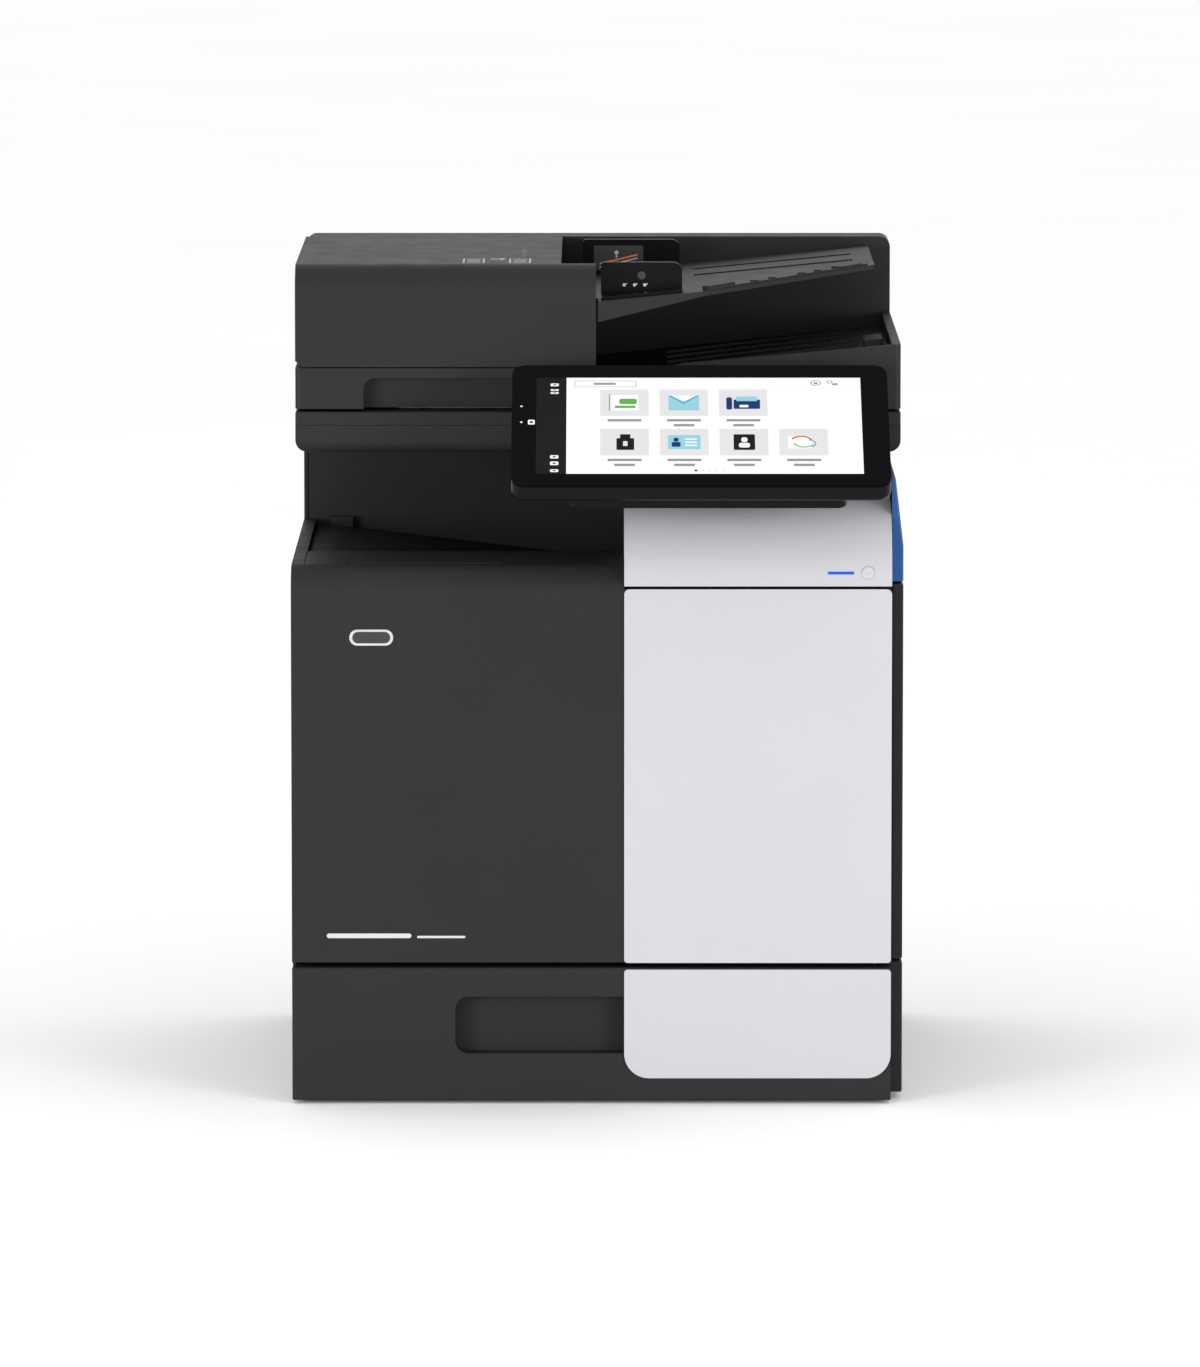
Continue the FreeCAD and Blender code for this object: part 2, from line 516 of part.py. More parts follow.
def outward(face, sign, size):
    """The span of a size that begins at a face and runs the way of sign."""
    return (face, f"{face} + {size}") if sign == "+" else (f"{face} - {size}", face)


def paper_side_guide(name, sign):
    """A guide wall at one side of the paper, with a flat foot outside it."""
    guide = Piece(name)
    face = f"({TUB_MIDDLE} {sign} paper_wide / 2)"
    along = on(f"({TUB_LEFT} + guide_in)", "guide_wide")
    guide.block(along, outward(face, sign, "guide_wall"), GUIDE_Z)
    guide.block(grown(along, "-guide_foot_in"), outward(face, sign, "guide_foot"),
                on(GUIDE_Z[0], "guide_foot_high"))
    guide.soften("4 * edge", "-x +z", "+x +z")


def paper_end_guide():
    guide = Piece("paper_end_guide")
    face = f"({TUB_LEFT} + end_guide_in + guide_wall)"
    guide.block((f"{face} - guide_wall", face), about(TUB_MIDDLE, "end_guide_wide / 2"), GUIDE_Z)
    guide.block((f"{face} - guide_wall - end_foot_long", face), about(TUB_MIDDLE, "end_foot_wide / 2"),
                on(GUIDE_Z[0], "guide_foot_high + seam"))
    guide.soften("4 * edge", "-y +z", "+y +z")


DOOR_AXIS = (f"{FRONT} + door_axis_in", "door_low + door_axis_up")
KNUCKLES = [f"({LEFT} + knuckle_in)", f"({COLUMN_RIGHT} - knuckle_in - knuckle_wide)"]


def front_door():
    """The front door, hollowed behind by four pockets with ribs between them, and its hinges."""
    door = Piece("front_door")
    inner = f"{FRONT} + door_round"
    step = f"{COLUMN_LEFT} - flush"
    outline = [(DARK_FRONT, "door_low"), (DARK_FRONT, "deck_top", "door_round - overlay"),
               (inner, "deck_top"),
               (inner, "door_low")]
    door.prism("YZ", outline, (LEFT, step))
    door.block((step, COLUMN_RIGHT), (DARK_FRONT, inner), ("door_low", "door_white_top"))
    rows = (("door_low + pocket_low", "door_low + pocket_rib"),
            ("door_low + pocket_rib + rib_wide", "door_white_top - pocket_top"))
    for row in rows:
        for column in ((f"{LEFT} + 4 * skin", f"{COLUMN_LEFT} - 2 * skin"),
                       (f"{COLUMN_LEFT} + 2 * skin", f"{COLUMN_RIGHT} - 4 * skin")):
            door.block(column, (f"{DARK_FRONT} + skin", inner), row, cut=True)
    for start in KNUCKLES:
        sides = on(start, "knuckle_wide")
        door.block(grown(sides, "slack"), (f"{DOOR_AXIS[0]} - knuckle_radius - slack", inner),
                   ("door_low", f"{DOOR_AXIS[1]} + knuckle_radius + slack"), cut=True)
        door.rod("x", DOOR_AXIS, "door_pin", grown(sides, "seam"))
    door.soften("slack", "-y -z", "-x -y", "+x -y")
    door.corners("YZ", "door_heel", (inner, "door_low"))
    white = Piece("door_white_panel")
    outline = [(COLUMN_LEFT, "door_low", "2 * edge"), (COLUMN_RIGHT, "door_low", "2 * edge"),
               (COLUMN_RIGHT, "door_white_top", "3 * edge"), (COLUMN_LEFT, "door_white_top", "3 * edge")]
    white.prism("XZ", outline, (FRONT, DARK_FRONT))
    hinges = Piece("door_hinges")
    low, high = about(DOOR_AXIS[1], "knuckle_radius")
    for start in KNUCKLES:
        sides = on(start, "knuckle_wide")
        hinges.rod("x", DOOR_AXIS, "knuckle_radius", sides)
        hinges.block(sides, (DOOR_AXIS[0], FRAME_FRONT), (low, high))
        hinges.block(sides, (f"{FRAME_FRONT} - skin", FRAME_FRONT), (low, f"{DOOR_AXIS[1]} + leaf_high"))
        hinges.rod("x", DOOR_AXIS, "door_pin + running", sides, cut=True)


# ---------------------------------------------------------------- deck, paper bay and white shoulder

DECK_LEFT = f"({LEFT} + side_flange + slack)"
FLOOR_HIGH = "(deck_top - floor_drop)"
FLOOR_LEFT, FLOOR_RIGHT = f"({LEFT} + 3 * side_flange)", f"({BAY_RIGHT} - tray_flat)"
FLOOR_LOW = f"({FLOOR_HIGH} - ({FLOOR_RIGHT} - {FLOOR_LEFT}) * tan(tray_slope))"


def output_deck():
    """The deck with its finger notch, and behind it the paper bay: a falling floor, its walls and a paper
    slot."""
    piece = Piece("output_deck")
    deck_front = f"{FRONT} + door_round + slack"
    deck_right = f"{COLUMN_LEFT} - slack"
    notch_x, notch_y = on(f"({LEFT} + notch_left)", "notch_wide"), on(deck_front, "notch_deep")
    piece.block((DECK_LEFT, deck_right), (deck_front, DECK_BACK), ("deck_top - skin", "deck_top"))
    piece.block(grown(notch_x, "skin"), (deck_front, f"{notch_y[1]} + skin"),
                ("deck_top - notch_deep", "deck_top - skin"))
    piece.block(notch_x, notch_y, ("deck_top - notch_deep + skin", "deck_top"), cut=True)
    under_high, under_low = f"{FLOOR_HIGH} - tray_thick", f"{FLOOR_LOW} - tray_thick"
    under_round = "tray_round - overlay + seam"
    outline = [(DECK_LEFT, FLOOR_HIGH), (FLOOR_LEFT, FLOOR_HIGH, "tray_round"),
               (FLOOR_RIGHT, FLOOR_LOW, "tray_round"),
               (BAY_RIGHT, FLOOR_LOW), (BAY_RIGHT, under_low), (FLOOR_RIGHT, under_low, under_round),
               (FLOOR_LEFT, under_high, under_round), (DECK_LEFT, under_high)]
    piece.prism("XZ", outline, grown((DECK_BACK, BAY_BACK), "skin"))
    lip, top = (f"{DECK_BACK} - skin", DECK_BACK), "scan_low - seam"
    wall = on(BAY_RIGHT, "skin")
    piece.block((DECK_LEFT, deck_right), lip, (under_low, "deck_top"))
    piece.block((deck_right, f"{BAY_RIGHT} + lip_long"), lip, (under_low, "slot_high + lip_over"))
    piece.block((f"{LEFT} + skin + slack", wall[1]), on(BAY_BACK, "skin"), (under_low, top))
    piece.block(wall, grown((DECK_BACK, BAY_BACK), "skin"), (under_low, top))
    piece.block(wall, grown((DECK_BACK, BAY_BACK), "-2 * skin"), ("slot_low", "slot_high"), cut=True)
    piece.rod("y", EXIT_AXIS, "journal + running", lip, cut=True)
    piece.block(on(f"({LEFT} + stop_left)", "stop_wide"), (f"{BAY_BACK} - stop_deep", BAY_BACK),
                (f"{FLOOR_HIGH} - tray_thick + slack", f"{FLOOR_HIGH} + stop_high"))
    piece.corners("YZ", "edge", (deck_front, "deck_top"))


LIGHT_X = on(f"({COLUMN_RIGHT} - light_from_edge)", "light_wide")
LIGHT_Z = on("light_low", "light_high")
SHOULDER_ROUND = "min(shoulder_round; shoulder_top - shoulder_low - skin)"     # no more than its wall allows
BUTTON = (f"({COLUMN_RIGHT} - button_from_edge)", "(light_low + light_high / 2)")


def shoulder():
    """The white cover that rounds back from the front to the scanner, with the status light and the power
    button."""
    piece = Piece("shoulder_cover")
    top, run, rear = "scan_low - seam", f"({FRONT} + shoulder_run)", f"({FRONT} + shoulder_deep)"
    outline = [(FRONT, "shoulder_low"), (FRONT, "shoulder_top"), (run, "shoulder_top"), (run, top),
               (rear, top),
               (rear, "shoulder_low")]
    inside = [(f"{FRONT} + skin", "shoulder_low"), (f"{FRONT} + skin", "shoulder_top - skin"),
              (f"{run} + skin", "shoulder_top - skin"), (f"{run} + skin", f"{top} - skin"),
              (f"{rear} - skin", f"{top} - skin"), (f"{rear} - skin", "shoulder_low")]
    piece.prism("YZ", outline, (COLUMN_LEFT, COLUMN_RIGHT))
    piece.prism("YZ", inside, grown((COLUMN_LEFT, COLUMN_RIGHT), "-skin"), cut=True)
    piece.corners("YZ", f"{SHOULDER_ROUND} - skin", inside[1])
    piece.corners("YZ", SHOULDER_ROUND, outline[1])
    piece.block(LIGHT_X, on(FRONT, "2 * skin"), LIGHT_Z, cut=True)
    piece.rod("y", BUTTON, "button_radius + running", on(FRONT, "light_deep"), cut=True)
    piece.soften("edge", "-x +z", "+x +z")
    light = Piece("status_light")
    light.block(LIGHT_X, (f"{FRONT} + slack", f"{FRONT} + light_deep"), LIGHT_Z)
    button = Piece("power_button")
    button.rod("y", BUTTON, "button_radius", (f"{FRONT} - slack", f"{FRONT} + button_deep"))
    button.soften("slack", "-y")


# ---------------------------------------------------------------- right side door and bypass tray

SIDE_AXIS = (f"({SIDE_OUT} - side_thick / 2)", "(door_low + side_thick / 2)")
SIDE_KNUCKLES = [f"({SIDE_FRONT} + knuckle_in)", f"({BAY_BACK} - knuckle_in - side_knuckle)"]
BYPASS_FRONT = f"({SIDE_FRONT} + bypass_front)"
BYPASS_Y = (BYPASS_FRONT, f"({BYPASS_FRONT} + bypass_wide)")
BYPASS_AXIS = (f"({SIDE_OUT} - bypass_thick / 2)", "(bypass_low + bypass_thick / 2)")


def side_door():
    """The side door, its hinges on the lower cover, and the fold-down bypass tray let into it."""
    door = Piece("side_door")
    inner = f"{SIDE_OUT} - side_thick"
    door.block((inner, SIDE_OUT), (SIDE_FRONT, BAY_BACK), ("door_low", "side_door_top"))
    door.block((f"{SIDE_OUT} - bypass_thick - slack", SIDE_OUT), grown(BYPASS_Y, "seam"),
               grown(("bypass_low", "bypass_high"), "seam"), cut=True)
    door.rod("y", BYPASS_AXIS, "side_pin + running", grown(BYPASS_Y, "bypass_pin_long + seam"), cut=True)
    hinges = Piece("side_door_hinges")
    for start in SIDE_KNUCKLES:
        ends = on(start, "side_knuckle")
        door.block((inner, SIDE_OUT), grown(ends, "slack"), ("door_low", "door_low + side_thick + slack"),
                   cut=True)
        door.rod("y", SIDE_AXIS, "side_pin", grown(ends, "seam"))
        hinges.rod("y", SIDE_AXIS, "side_knuckle_radius", ends)
        hinges.block(about(SIDE_AXIS[0], "side_knuckle_radius"), ends, ("tray_top + seam", SIDE_AXIS[1]))
        hinges.rod("y", SIDE_AXIS, "side_pin + running", ends, cut=True)
    door.soften("edge", "+x -y", "+x +y", "+x +z", "+x -z")
    tray = Piece("bypass_tray")
    middle = f"({BYPASS_FRONT} + bypass_wide / 2)"
    tray.block((f"{SIDE_OUT} - bypass_thick", SIDE_OUT), BYPASS_Y, ("bypass_low", "bypass_high"))
    tray.soften("bypass_thick / 2.1", "-x -z", "+x -z")
    tray.rod("y", BYPASS_AXIS, "side_pin", grown(BYPASS_Y, "bypass_pin_long"))
    tray.block((f"{SIDE_OUT} - skin", SIDE_OUT), about(middle, "scoop_wide / 2"),
               on("bypass_high - scoop_in - scoop_high", "scoop_high"), cut=True)
    tray.block((SIDE_OUT, RIGHT), about(middle, "pull_bar_wide / 2"),
               on("bypass_low + pull_bar_up", "pull_bar_high"))
    tray.soften("slack", "+x")


# ---------------------------------------------------------------- scanner

GLASS_X = (f"({SCAN_LEFT} + glass_left)", f"({SCAN_RIGHT} - glass_right)")
GLASS_Y = on(f"({SCAN_FRONT} + glass_front)", "glass_wide")
STRIP_X = on(f"({SCAN_LEFT} + strip_left)", "strip_wide")
GLASS_Z = ("scan_top - glass_lip - glass_thick", "scan_top - glass_lip")
SCAN_X, SCAN_Y = (SCAN_LEFT, SCAN_RIGHT), (SCAN_FRONT, SCAN_REAR)


def scanner():
    """The flatbed: a tub with a rail, a carriage on the rail, and a frame that holds two panes of glass."""
    rail = (f"({SCAN_FRONT} + glass_front + glass_wide / 2)", "(scan_low + rail_up)")
    inside = grown(SCAN_X, "-2 * skin"), grown(SCAN_Y, "-2 * skin")
    low = Piece("scanner_housing")
    low.block(SCAN_X, SCAN_Y, ("scan_low", "scan_seam"))
    low.soften("scan_round", "-z -y", "-z -x", "-z +x")
    low.block(*inside, ("scan_low + skin", "scan_seam"), cut=True)
    low.rod("x", rail, "rail_radius", grown(SCAN_X, "-skin"))
    frame = Piece("scanner_frame")
    under = "scan_seam + slack / 2"
    frame.block(SCAN_X, SCAN_Y, (under, "scan_top"))
    frame.block(*inside, (under, "scan_top - 2 * skin"), cut=True)
    glass = Piece("scan_glass")
    for span in (GLASS_X, STRIP_X):
        frame.block(grown(span, "running"), grown(GLASS_Y, "running"), (GLASS_Z[0], "scan_top"), cut=True)
        frame.block(grown(span, "-glass_hold"), grown(GLASS_Y, "-glass_hold"),
                    ("scan_top - 2 * skin", "scan_top"),
                    cut=True)
        glass.block(span, GLASS_Y, GLASS_Z)
    frame.soften("edge", "+z -y", "+z -x", "+z +x", "-x -y", "+x -y")
    carriage = Piece("scan_carriage")
    along = on(STRIP_X[0], "carriage_wide")
    low_z, high_z = on("(scan_low + skin + carriage_gap)", "carriage_high")
    carriage.block(along, grown(GLASS_Y, "carriage_over"), (low_z, high_z))
    carriage.block(grown(along, "-(carriage_wide - lamp_slot) / 2"), grown(GLASS_Y, "-lamp_deep"),
                   (f"{high_z} - lamp_deep", high_z), cut=True)
    carriage.rod("x", rail, "rail_radius + running", along, cut=True)


# ---------------------------------------------------------------- document feeder, hinged at the back

LID_Y = (SCAN_FRONT, LID_REAR)
LID_AXIS = (f"({LID_REAR} + lid_axis_out)", "lid_axis_up")
LID_FLOOR = "lid_low + 2 * skin"
HINGES = [f"({side}hinge_apart / 2 - hinge_wide / 2)" for side in ("-", "")]
CAVITY_Y = (f"({SCAN_FRONT} + pull_deep + 2 * skin)", f"({LID_BOX} - skin)")
COVER_AXIS = (f"({SCAN_LEFT} + cover_in)", "(lid_seam + cover_up)")
COVER_EARS = [CAVITY_Y[0], f"({CAVITY_Y[1]} - 1.5 * ear_deep)"]
TONGUE = f"({FEEDER_RIGHT} - cover_notch + seam)"
SHEET_RIGHT = f"({SCAN_RIGHT} - sheet_right)"
SHEET_AXIS = (f"({TONGUE} + sheet_axis_in)", "(sheet_in + sheet_axis_up)")


def lid():
    feeder_base()
    lid_hinges()
    pad = Piece("platen_pad")
    pad.block(grown(GLASS_X, "-seam"), grown(GLASS_Y, "-seam"), (f"{GLASS_Z[1]} + pad_gap", "lid_low"))
    rear = Piece("feeder_rear_cover")
    floor = "box_seam + flush"
    rear.block(SCAN_X, (LID_BOX, LID_REAR), (floor, "height"))
    rear.soften("3 * skin", "+z +y", "+z +x", "+z -x")
    rear.block(grown(SCAN_X, "-skin"), grown((LID_BOX, LID_REAR), "-skin"), (floor, "height - box_top"),
               cut=True)
    rear.rod("y", SHEET_AXIS, "sheet_pin + running", on(LID_BOX, "skin"), cut=True)


def feeder_base():
    """The lid over the scanner, with a finger grip, the feeder's cavity, the output ramp and its rim."""
    base = Piece("feeder_base")
    base.block(SCAN_X, LID_Y, ("lid_low", "lid_slab"))
    base.block((SCAN_LEFT, FEEDER_RIGHT), LID_Y, ("lid_slab", "lid_seam"))
    base.block(SCAN_X, (LID_BOX, LID_REAR), ("lid_slab", "box_seam"))
    ramp = [(FEEDER_RIGHT, LID_FLOOR), (SCAN_RIGHT, LID_FLOOR), (SCAN_RIGHT, "ramp_end"),
            (FEEDER_RIGHT, "ramp_start")]
    base.prism("XZ", ramp, (SCAN_FRONT, LID_BOX))
    rim_top = "ramp_end + ramp_rim"
    rim = [(FEEDER_RIGHT, "lid_slab"), (SCAN_RIGHT, "lid_slab"), (SCAN_RIGHT, rim_top),
           (f"{FEEDER_RIGHT} + rim_run", "ramp_start + 2 * ramp_rim"), (FEEDER_RIGHT,
                                                                        "ramp_start + ramp_rim / 2")]
    base.prism("XZ", rim, on(SCAN_FRONT, "rim_wide"))
    base.block((f"{SCAN_RIGHT} - rim_wide", SCAN_RIGHT), (SCAN_FRONT, LID_BOX), ("lid_slab", rim_top))
    base.soften("3 * edge", "-y -x", "-y +x")
    base.block((f"{SCAN_LEFT} + skin", f"{FEEDER_RIGHT} - skin"), CAVITY_Y, (LID_FLOOR, "lid_seam"), cut=True)
    base.block(grown(SCAN_X, "-skin"), grown((LID_BOX, LID_REAR), "-skin"), (LID_FLOOR, "box_seam"), cut=True)
    pull_x = on(f"{SCAN_LEFT} + pull_left", "pull_wide")
    pull = [(pull_x[0], "lid_low"), (pull_x[0], "pull_top", "pull_round"),
            (pull_x[1], "pull_top", "pull_round"),
            (pull_x[1], "lid_low")]
    base.prism("XZ", pull, on(SCAN_FRONT, "pull_deep"), cut=True)
    base.block(grown(STRIP_X, "-strip_open"), grown(GLASS_Y, "-strip_open"), ("lid_low", LID_FLOOR), cut=True)
    for start in COVER_EARS:
        ends = on(start, "ear_deep")
        far = f"{COVER_AXIS[0]} + ear_reach"
        base.block((COVER_AXIS[0], far), ends, about(COVER_AXIS[1], "ear_radius"))
        base.block((f"{COVER_AXIS[0]} + ear_post", far), ends, (LID_FLOOR, COVER_AXIS[1]))
        base.rod("y", COVER_AXIS, "ear_radius", ends)
        base.rod("y", COVER_AXIS, "cover_pin + running", ends, cut=True)
    for start in HINGES:
        sides = on(start, "hinge_wide")
        base.block(sides, (LID_REAR, LID_AXIS[0]), about(LID_AXIS[1], "hinge_radius"))
        base.rod("x", LID_AXIS, "hinge_radius", sides)
        base.rod("x", LID_AXIS, "hinge_pin + running", sides, cut=True)


def lid_hinges():
    """Two forks with pins, which stand on the scanner's frame behind the lid."""
    hinges = Piece("lid_hinges")
    for start in HINGES:
        end = f"{start} + hinge_wide"
        for ear in (f"{start} - hinge_ear - slack", f"{end} + slack"):
            hinges.block(on(ear, "hinge_ear"), about(LID_AXIS[0], "hinge_radius"), ("scan_top", LID_AXIS[1]))
            hinges.rod("x", LID_AXIS, "hinge_radius", on(ear, "hinge_ear"))
        hinges.rod("x", LID_AXIS, "hinge_pin", grown((start, end), "hinge_ear"))


FEED_AXIS = (f"({FEEDER_RIGHT} - cover_notch - feed_axis_in)", "(sheet_in - feed_axis_down)")
SHEET_EAR = f"({SCAN_FRONT} + cover_lip + feed_plate)"


def feeder():
    """The feeder's hinged cover, the frame inside it and the feed roller."""
    cover = Piece("feed_cover")
    low, rear = "lid_seam + cover_low", f"{LID_BOX} - slack"
    inner_front, inner_rear = f"{SCAN_FRONT} + cover_wall", f"{rear} - cover_wall"
    inner_top = "height - cover_wall"
    outline = [(SCAN_FRONT, low), (SCAN_FRONT, "height"), (rear, "height"), (rear, low)]
    inside = [(inner_front, low), (inner_front, inner_top), (inner_rear, inner_top), (inner_rear, low)]
    cover.prism("YZ", outline, (SCAN_LEFT, FEEDER_RIGHT))
    cover.prism("YZ", inside, grown((SCAN_LEFT, FEEDER_RIGHT), "-cover_wall"), cut=True)
    heel_x, heel_top = f"{SCAN_LEFT} + cover_heel", f"{COVER_AXIS[1]} - heel_up"
    heel = [(f"{SCAN_LEFT} - seam", f"{low} - seam"), (heel_x, f"{low} - seam"), (heel_x, low),
            (SCAN_LEFT, heel_top),
            (f"{SCAN_LEFT} - seam", heel_top)]
    cover.prism("XZ", heel, grown((SCAN_FRONT, rear), "seam"), cut=True)
    cover.corners("YZ", "cover_crown - cover_wall", inside[1])
    cover.corners("YZ", "cover_crown", outline[1])
    cover.block((f"{FEEDER_RIGHT} - cover_notch", f"{FEEDER_RIGHT} + seam"),
                (f"{SCAN_FRONT} + cover_lip", rear),
                (low, "height"), cut=True)
    cover.rod("y", COVER_AXIS, "cover_pin", (f"{SCAN_FRONT} + skin", f"{COVER_EARS[0]} + ear_deep"))
    cover.rod("y", COVER_AXIS, "cover_pin", (COVER_EARS[1], f"{rear} - skin / 2"))
    frame = Piece("feeder_frame")
    sides = (f"{SCAN_LEFT} + feed_frame_in", f"{FEEDER_RIGHT} - cover_notch - sheet_boss")
    front, back = on(COVER_EARS[0], "feed_plate"), on(COVER_EARS[1], "feed_plate")
    ends, between = (front[0], back[1]), (front[1], back[0])
    bridge = on("sheet_in - feed_bridge_down", "feed_plate")
    for plate in (front, back):
        frame.block(sides, plate, (LID_FLOOR, "sheet_in + feed_plate_up"))
    frame.block(sides, ends, on(LID_FLOOR, "2 * skin"))
    frame.block((f"{sides[1]} - feed_bridge", sides[1]), ends, bridge)
    ear = on(SHEET_EAR, "feed_plate")
    frame.block((f"{sides[1]} - sheet_boss", f"{SHEET_AXIS[0]} + sheet_boss"), ear,
                ("sheet_in - feed_plate_up", SHEET_AXIS[1]))
    frame.rod("y", SHEET_AXIS, "sheet_boss", ear)
    frame.rod("y", SHEET_AXIS, "sheet_pin + running", ear, cut=True)
    frame.rod("y", FEED_AXIS, "feed_shaft + running", ends, cut=True)
    frame.block(about(FEED_AXIS[0], "(feed_roller + frame_gap)"), between, bridge, cut=True)
    roller = Piece("document_feed_roller")
    roller.rod("y", FEED_AXIS, "feed_shaft", ends)
    roller.rod("y", FEED_AXIS, "feed_roller", grown(GLASS_Y, "-feed_roller_in"))


def rise(x):
    """The height of the document tray's surface at an x."""
    return f"(sheet_in + sheet_rise * (({x}) - {TONGUE}) / ({SHEET_RIGHT} - {TONGUE}))"


def sloped(left, right, under, over):
    """A strip that follows the document tray's slope, from under to over its surface."""
    return [(left, f"{rise(left)} + {over}"), (right, f"{rise(right)} + {over}"),
            (right, f"{rise(right)} + {under}"), (left, f"{rise(left)} + {under}")]


TRAY_LEFT = f"({FEEDER_RIGHT} + 1.5 * seam)"
TRAY_Y = (f"({SHEET_EAR} + feed_plate + slack)", f"({LID_BOX} - seam)")


def sheet_tray():
    """The sloping document tray, hinged at its left end, with its front corner cut away."""
    tray = Piece("document_tray")
    straight = f"({TRAY_LEFT} + sheet_straight)"
    tray.prism("XZ", sloped(TONGUE, f"{TRAY_LEFT} + frame_gap", "-sheet_thick", "0"), TRAY_Y)
    tray.prism("XZ", sloped(TRAY_LEFT, SHEET_RIGHT, "-sheet_thick", "0"), (SCAN_FRONT, TRAY_Y[1]))
    fascia = [(TRAY_LEFT, f"{rise(TRAY_LEFT)} - sheet_fascia"), (straight, f"{rise(straight)} - sheet_thick"),
              (straight, f"{rise(straight)} - sheet_thick / 2"), (TRAY_LEFT,
                                                                  f"{rise(TRAY_LEFT)} - sheet_thick / 2")]
    tray.prism("XZ", fascia, on(SCAN_FRONT, "sheet_boss"))
    corner = [(straight, f"{SCAN_FRONT} - seam"), (SCAN_RIGHT, f"{SCAN_FRONT} - seam"),
              (SCAN_RIGHT, f"{SCAN_FRONT} + sheet_taper - seam")]
    tray.prism("XY", corner, ("sheet_in - sheet_fascia", "height"), cut=True)
    for boss in (on(TRAY_Y[0], "sheet_boss"), (f"{TRAY_Y[1]} - sheet_boss", TRAY_Y[1])):
        tray.block(about(SHEET_AXIS[0], "sheet_boss"), boss, ("sheet_in - sheet_pin", SHEET_AXIS[1]))
        tray.rod("y", SHEET_AXIS, "sheet_boss", boss)
    tray.rod("y", SHEET_AXIS, "sheet_pin", (f"{SHEET_EAR} + slack", f"{TRAY_Y[0]} + sheet_boss"))
    tray.rod("y", SHEET_AXIS, "sheet_pin", (f"{TRAY_Y[1]} - sheet_boss", f"{LID_BOX} + skin - running"))
    right = f"({TRAY_LEFT} + guide_long)"
    near = f"({SCAN_FRONT} + guide_front_in)"
    document_guide("document_guide_front", f"({TRAY_LEFT} + frame_gap)", right, near,
                   (f"{near} - guide_base_wide", near))
    near = f"({LID_BOX} - guide_rear_in)"
    behind = on(f"{near} + guide_thick", "guide_base_wide")
    document_guide("document_guide_rear", f"({TRAY_LEFT} - guide_reach)", right, near, behind)


def document_guide(name, left, right, near, foot):
    """An upright guide on the document tray, with a low foot in front of it or behind it."""
    guide = Piece(name)
    top = f"{rise(right)} + guide_high"
    outline = [(left, f"{rise(left)} + guide_lift"), (right, f"{rise(right)} + guide_lift"),
               (right, top, "5 * edge"), (left, top, "skin")]
    guide.prism("XZ", outline, on(near, "guide_thick"))
    guide.prism("XZ", sloped(left, right, "guide_lift", "guide_lift + guide_base"), foot)


# ---------------------------------------------------------------- tilting touch panel

PANEL_LEFT = f"({RIGHT} - panel_right - panel_wide)"
PANEL_Y = "(-depth / 2 + panel_thick * sin(panel_tilt))"
PIVOT = (f"({PANEL_Y} + pivot_up * cos(panel_tilt) + pivot_back * sin(panel_tilt))",
         "(panel_low + pivot_up * sin(panel_tilt) - pivot_back * cos(panel_tilt))")
ARM_LEFT = f"({RIGHT} - arm_right - arm_wide)"


def tilted(label):
    """A piece drawn flat, x across the panel and y up it, then leaned back with the panel."""
    piece = Piece(label)
    piece.body.Placement = FreeCAD.Placement(FreeCAD.Vector(), FreeCAD.Rotation(FreeCAD.Vector(1, 0, 0), 1))
    bind(piece.body, "Placement.Rotation.Angle", "panel_tilt")
    for axis, place in (("x", PANEL_LEFT), ("y", PANEL_Y), ("z", "panel_low")):
        bind(piece.body, f"Placement.Base.{axis}", place)
    return piece


def rounded_box(left, low, wide, tall, radius):
    right, high = f"{left} + {wide}", f"{low} + {tall}"
    return [(left, low, radius), (right, low, radius), (right, high, radius), (left, high, radius)]


def touch_panel():
    """The panel's housing with two barrels behind, its glass, and the arm that the barrels turn on."""
    outline = rounded_box("0", "0", "panel_wide", "panel_tall", "panel_round")
    face = "panel_thick - glass_face"
    shell = tilted("panel_housing")
    shell.prism("XY", outline, ("0", face))
    shell.soften("4 * edge", "-z")
    bulge = rounded_box("bulge_left", "bulge_low", "bulge_wide", "bulge_tall", "bulge_round")
    shell.prism("XY", bulge, ("-bulge_thick", "skin"))
    arm = on(f"({ARM_LEFT} - {PANEL_LEFT})", "arm_wide")
    barrel = ("pivot_up", "-pivot_back")
    for start in (f"({arm[0]} - barrel_wide - slack)", f"({arm[1]} + slack)"):
        shell.block(on(start, "barrel_wide"), about("pivot_up", "barrel_radius"),
                    ("-pivot_back", "-bulge_thick"))
        shell.rod("x", barrel, "barrel_radius", on(start, "barrel_wide"))
    shell.rod("x", barrel, "barrel_pin", grown(arm, "barrel_wide"))
    glass = tilted("panel_glass")
    glass.prism("XY", outline, (face, "panel_thick"))
    holder = Piece("panel_arm")
    base, sides = "(scan_low + arm_up)", on(ARM_LEFT, "arm_wide")
    outline = [(SCAN_FRONT, base), (SCAN_FRONT, f"{base} + arm_thick"),
               (PIVOT[0], f"{PIVOT[1]} + barrel_radius"),
               (PIVOT[0], f"{PIVOT[1]} - barrel_radius")]
    holder.prism("YZ", outline, sides)
    holder.rod("x", PIVOT, "barrel_radius", sides)
    holder.rod("x", PIVOT, "barrel_pin + running", sides, cut=True)


# ---------------------------------------------------------------- rollers, toner and drive

COUPLER_HOLES, EXIT_TYRES = 6, 4
SHAFT_Y = (f"{FRAME_FRONT} - seam", f"{FRAME_BACK} + seam")
DRUM_AXIS = ROLLERS["photo_drum"][:2]


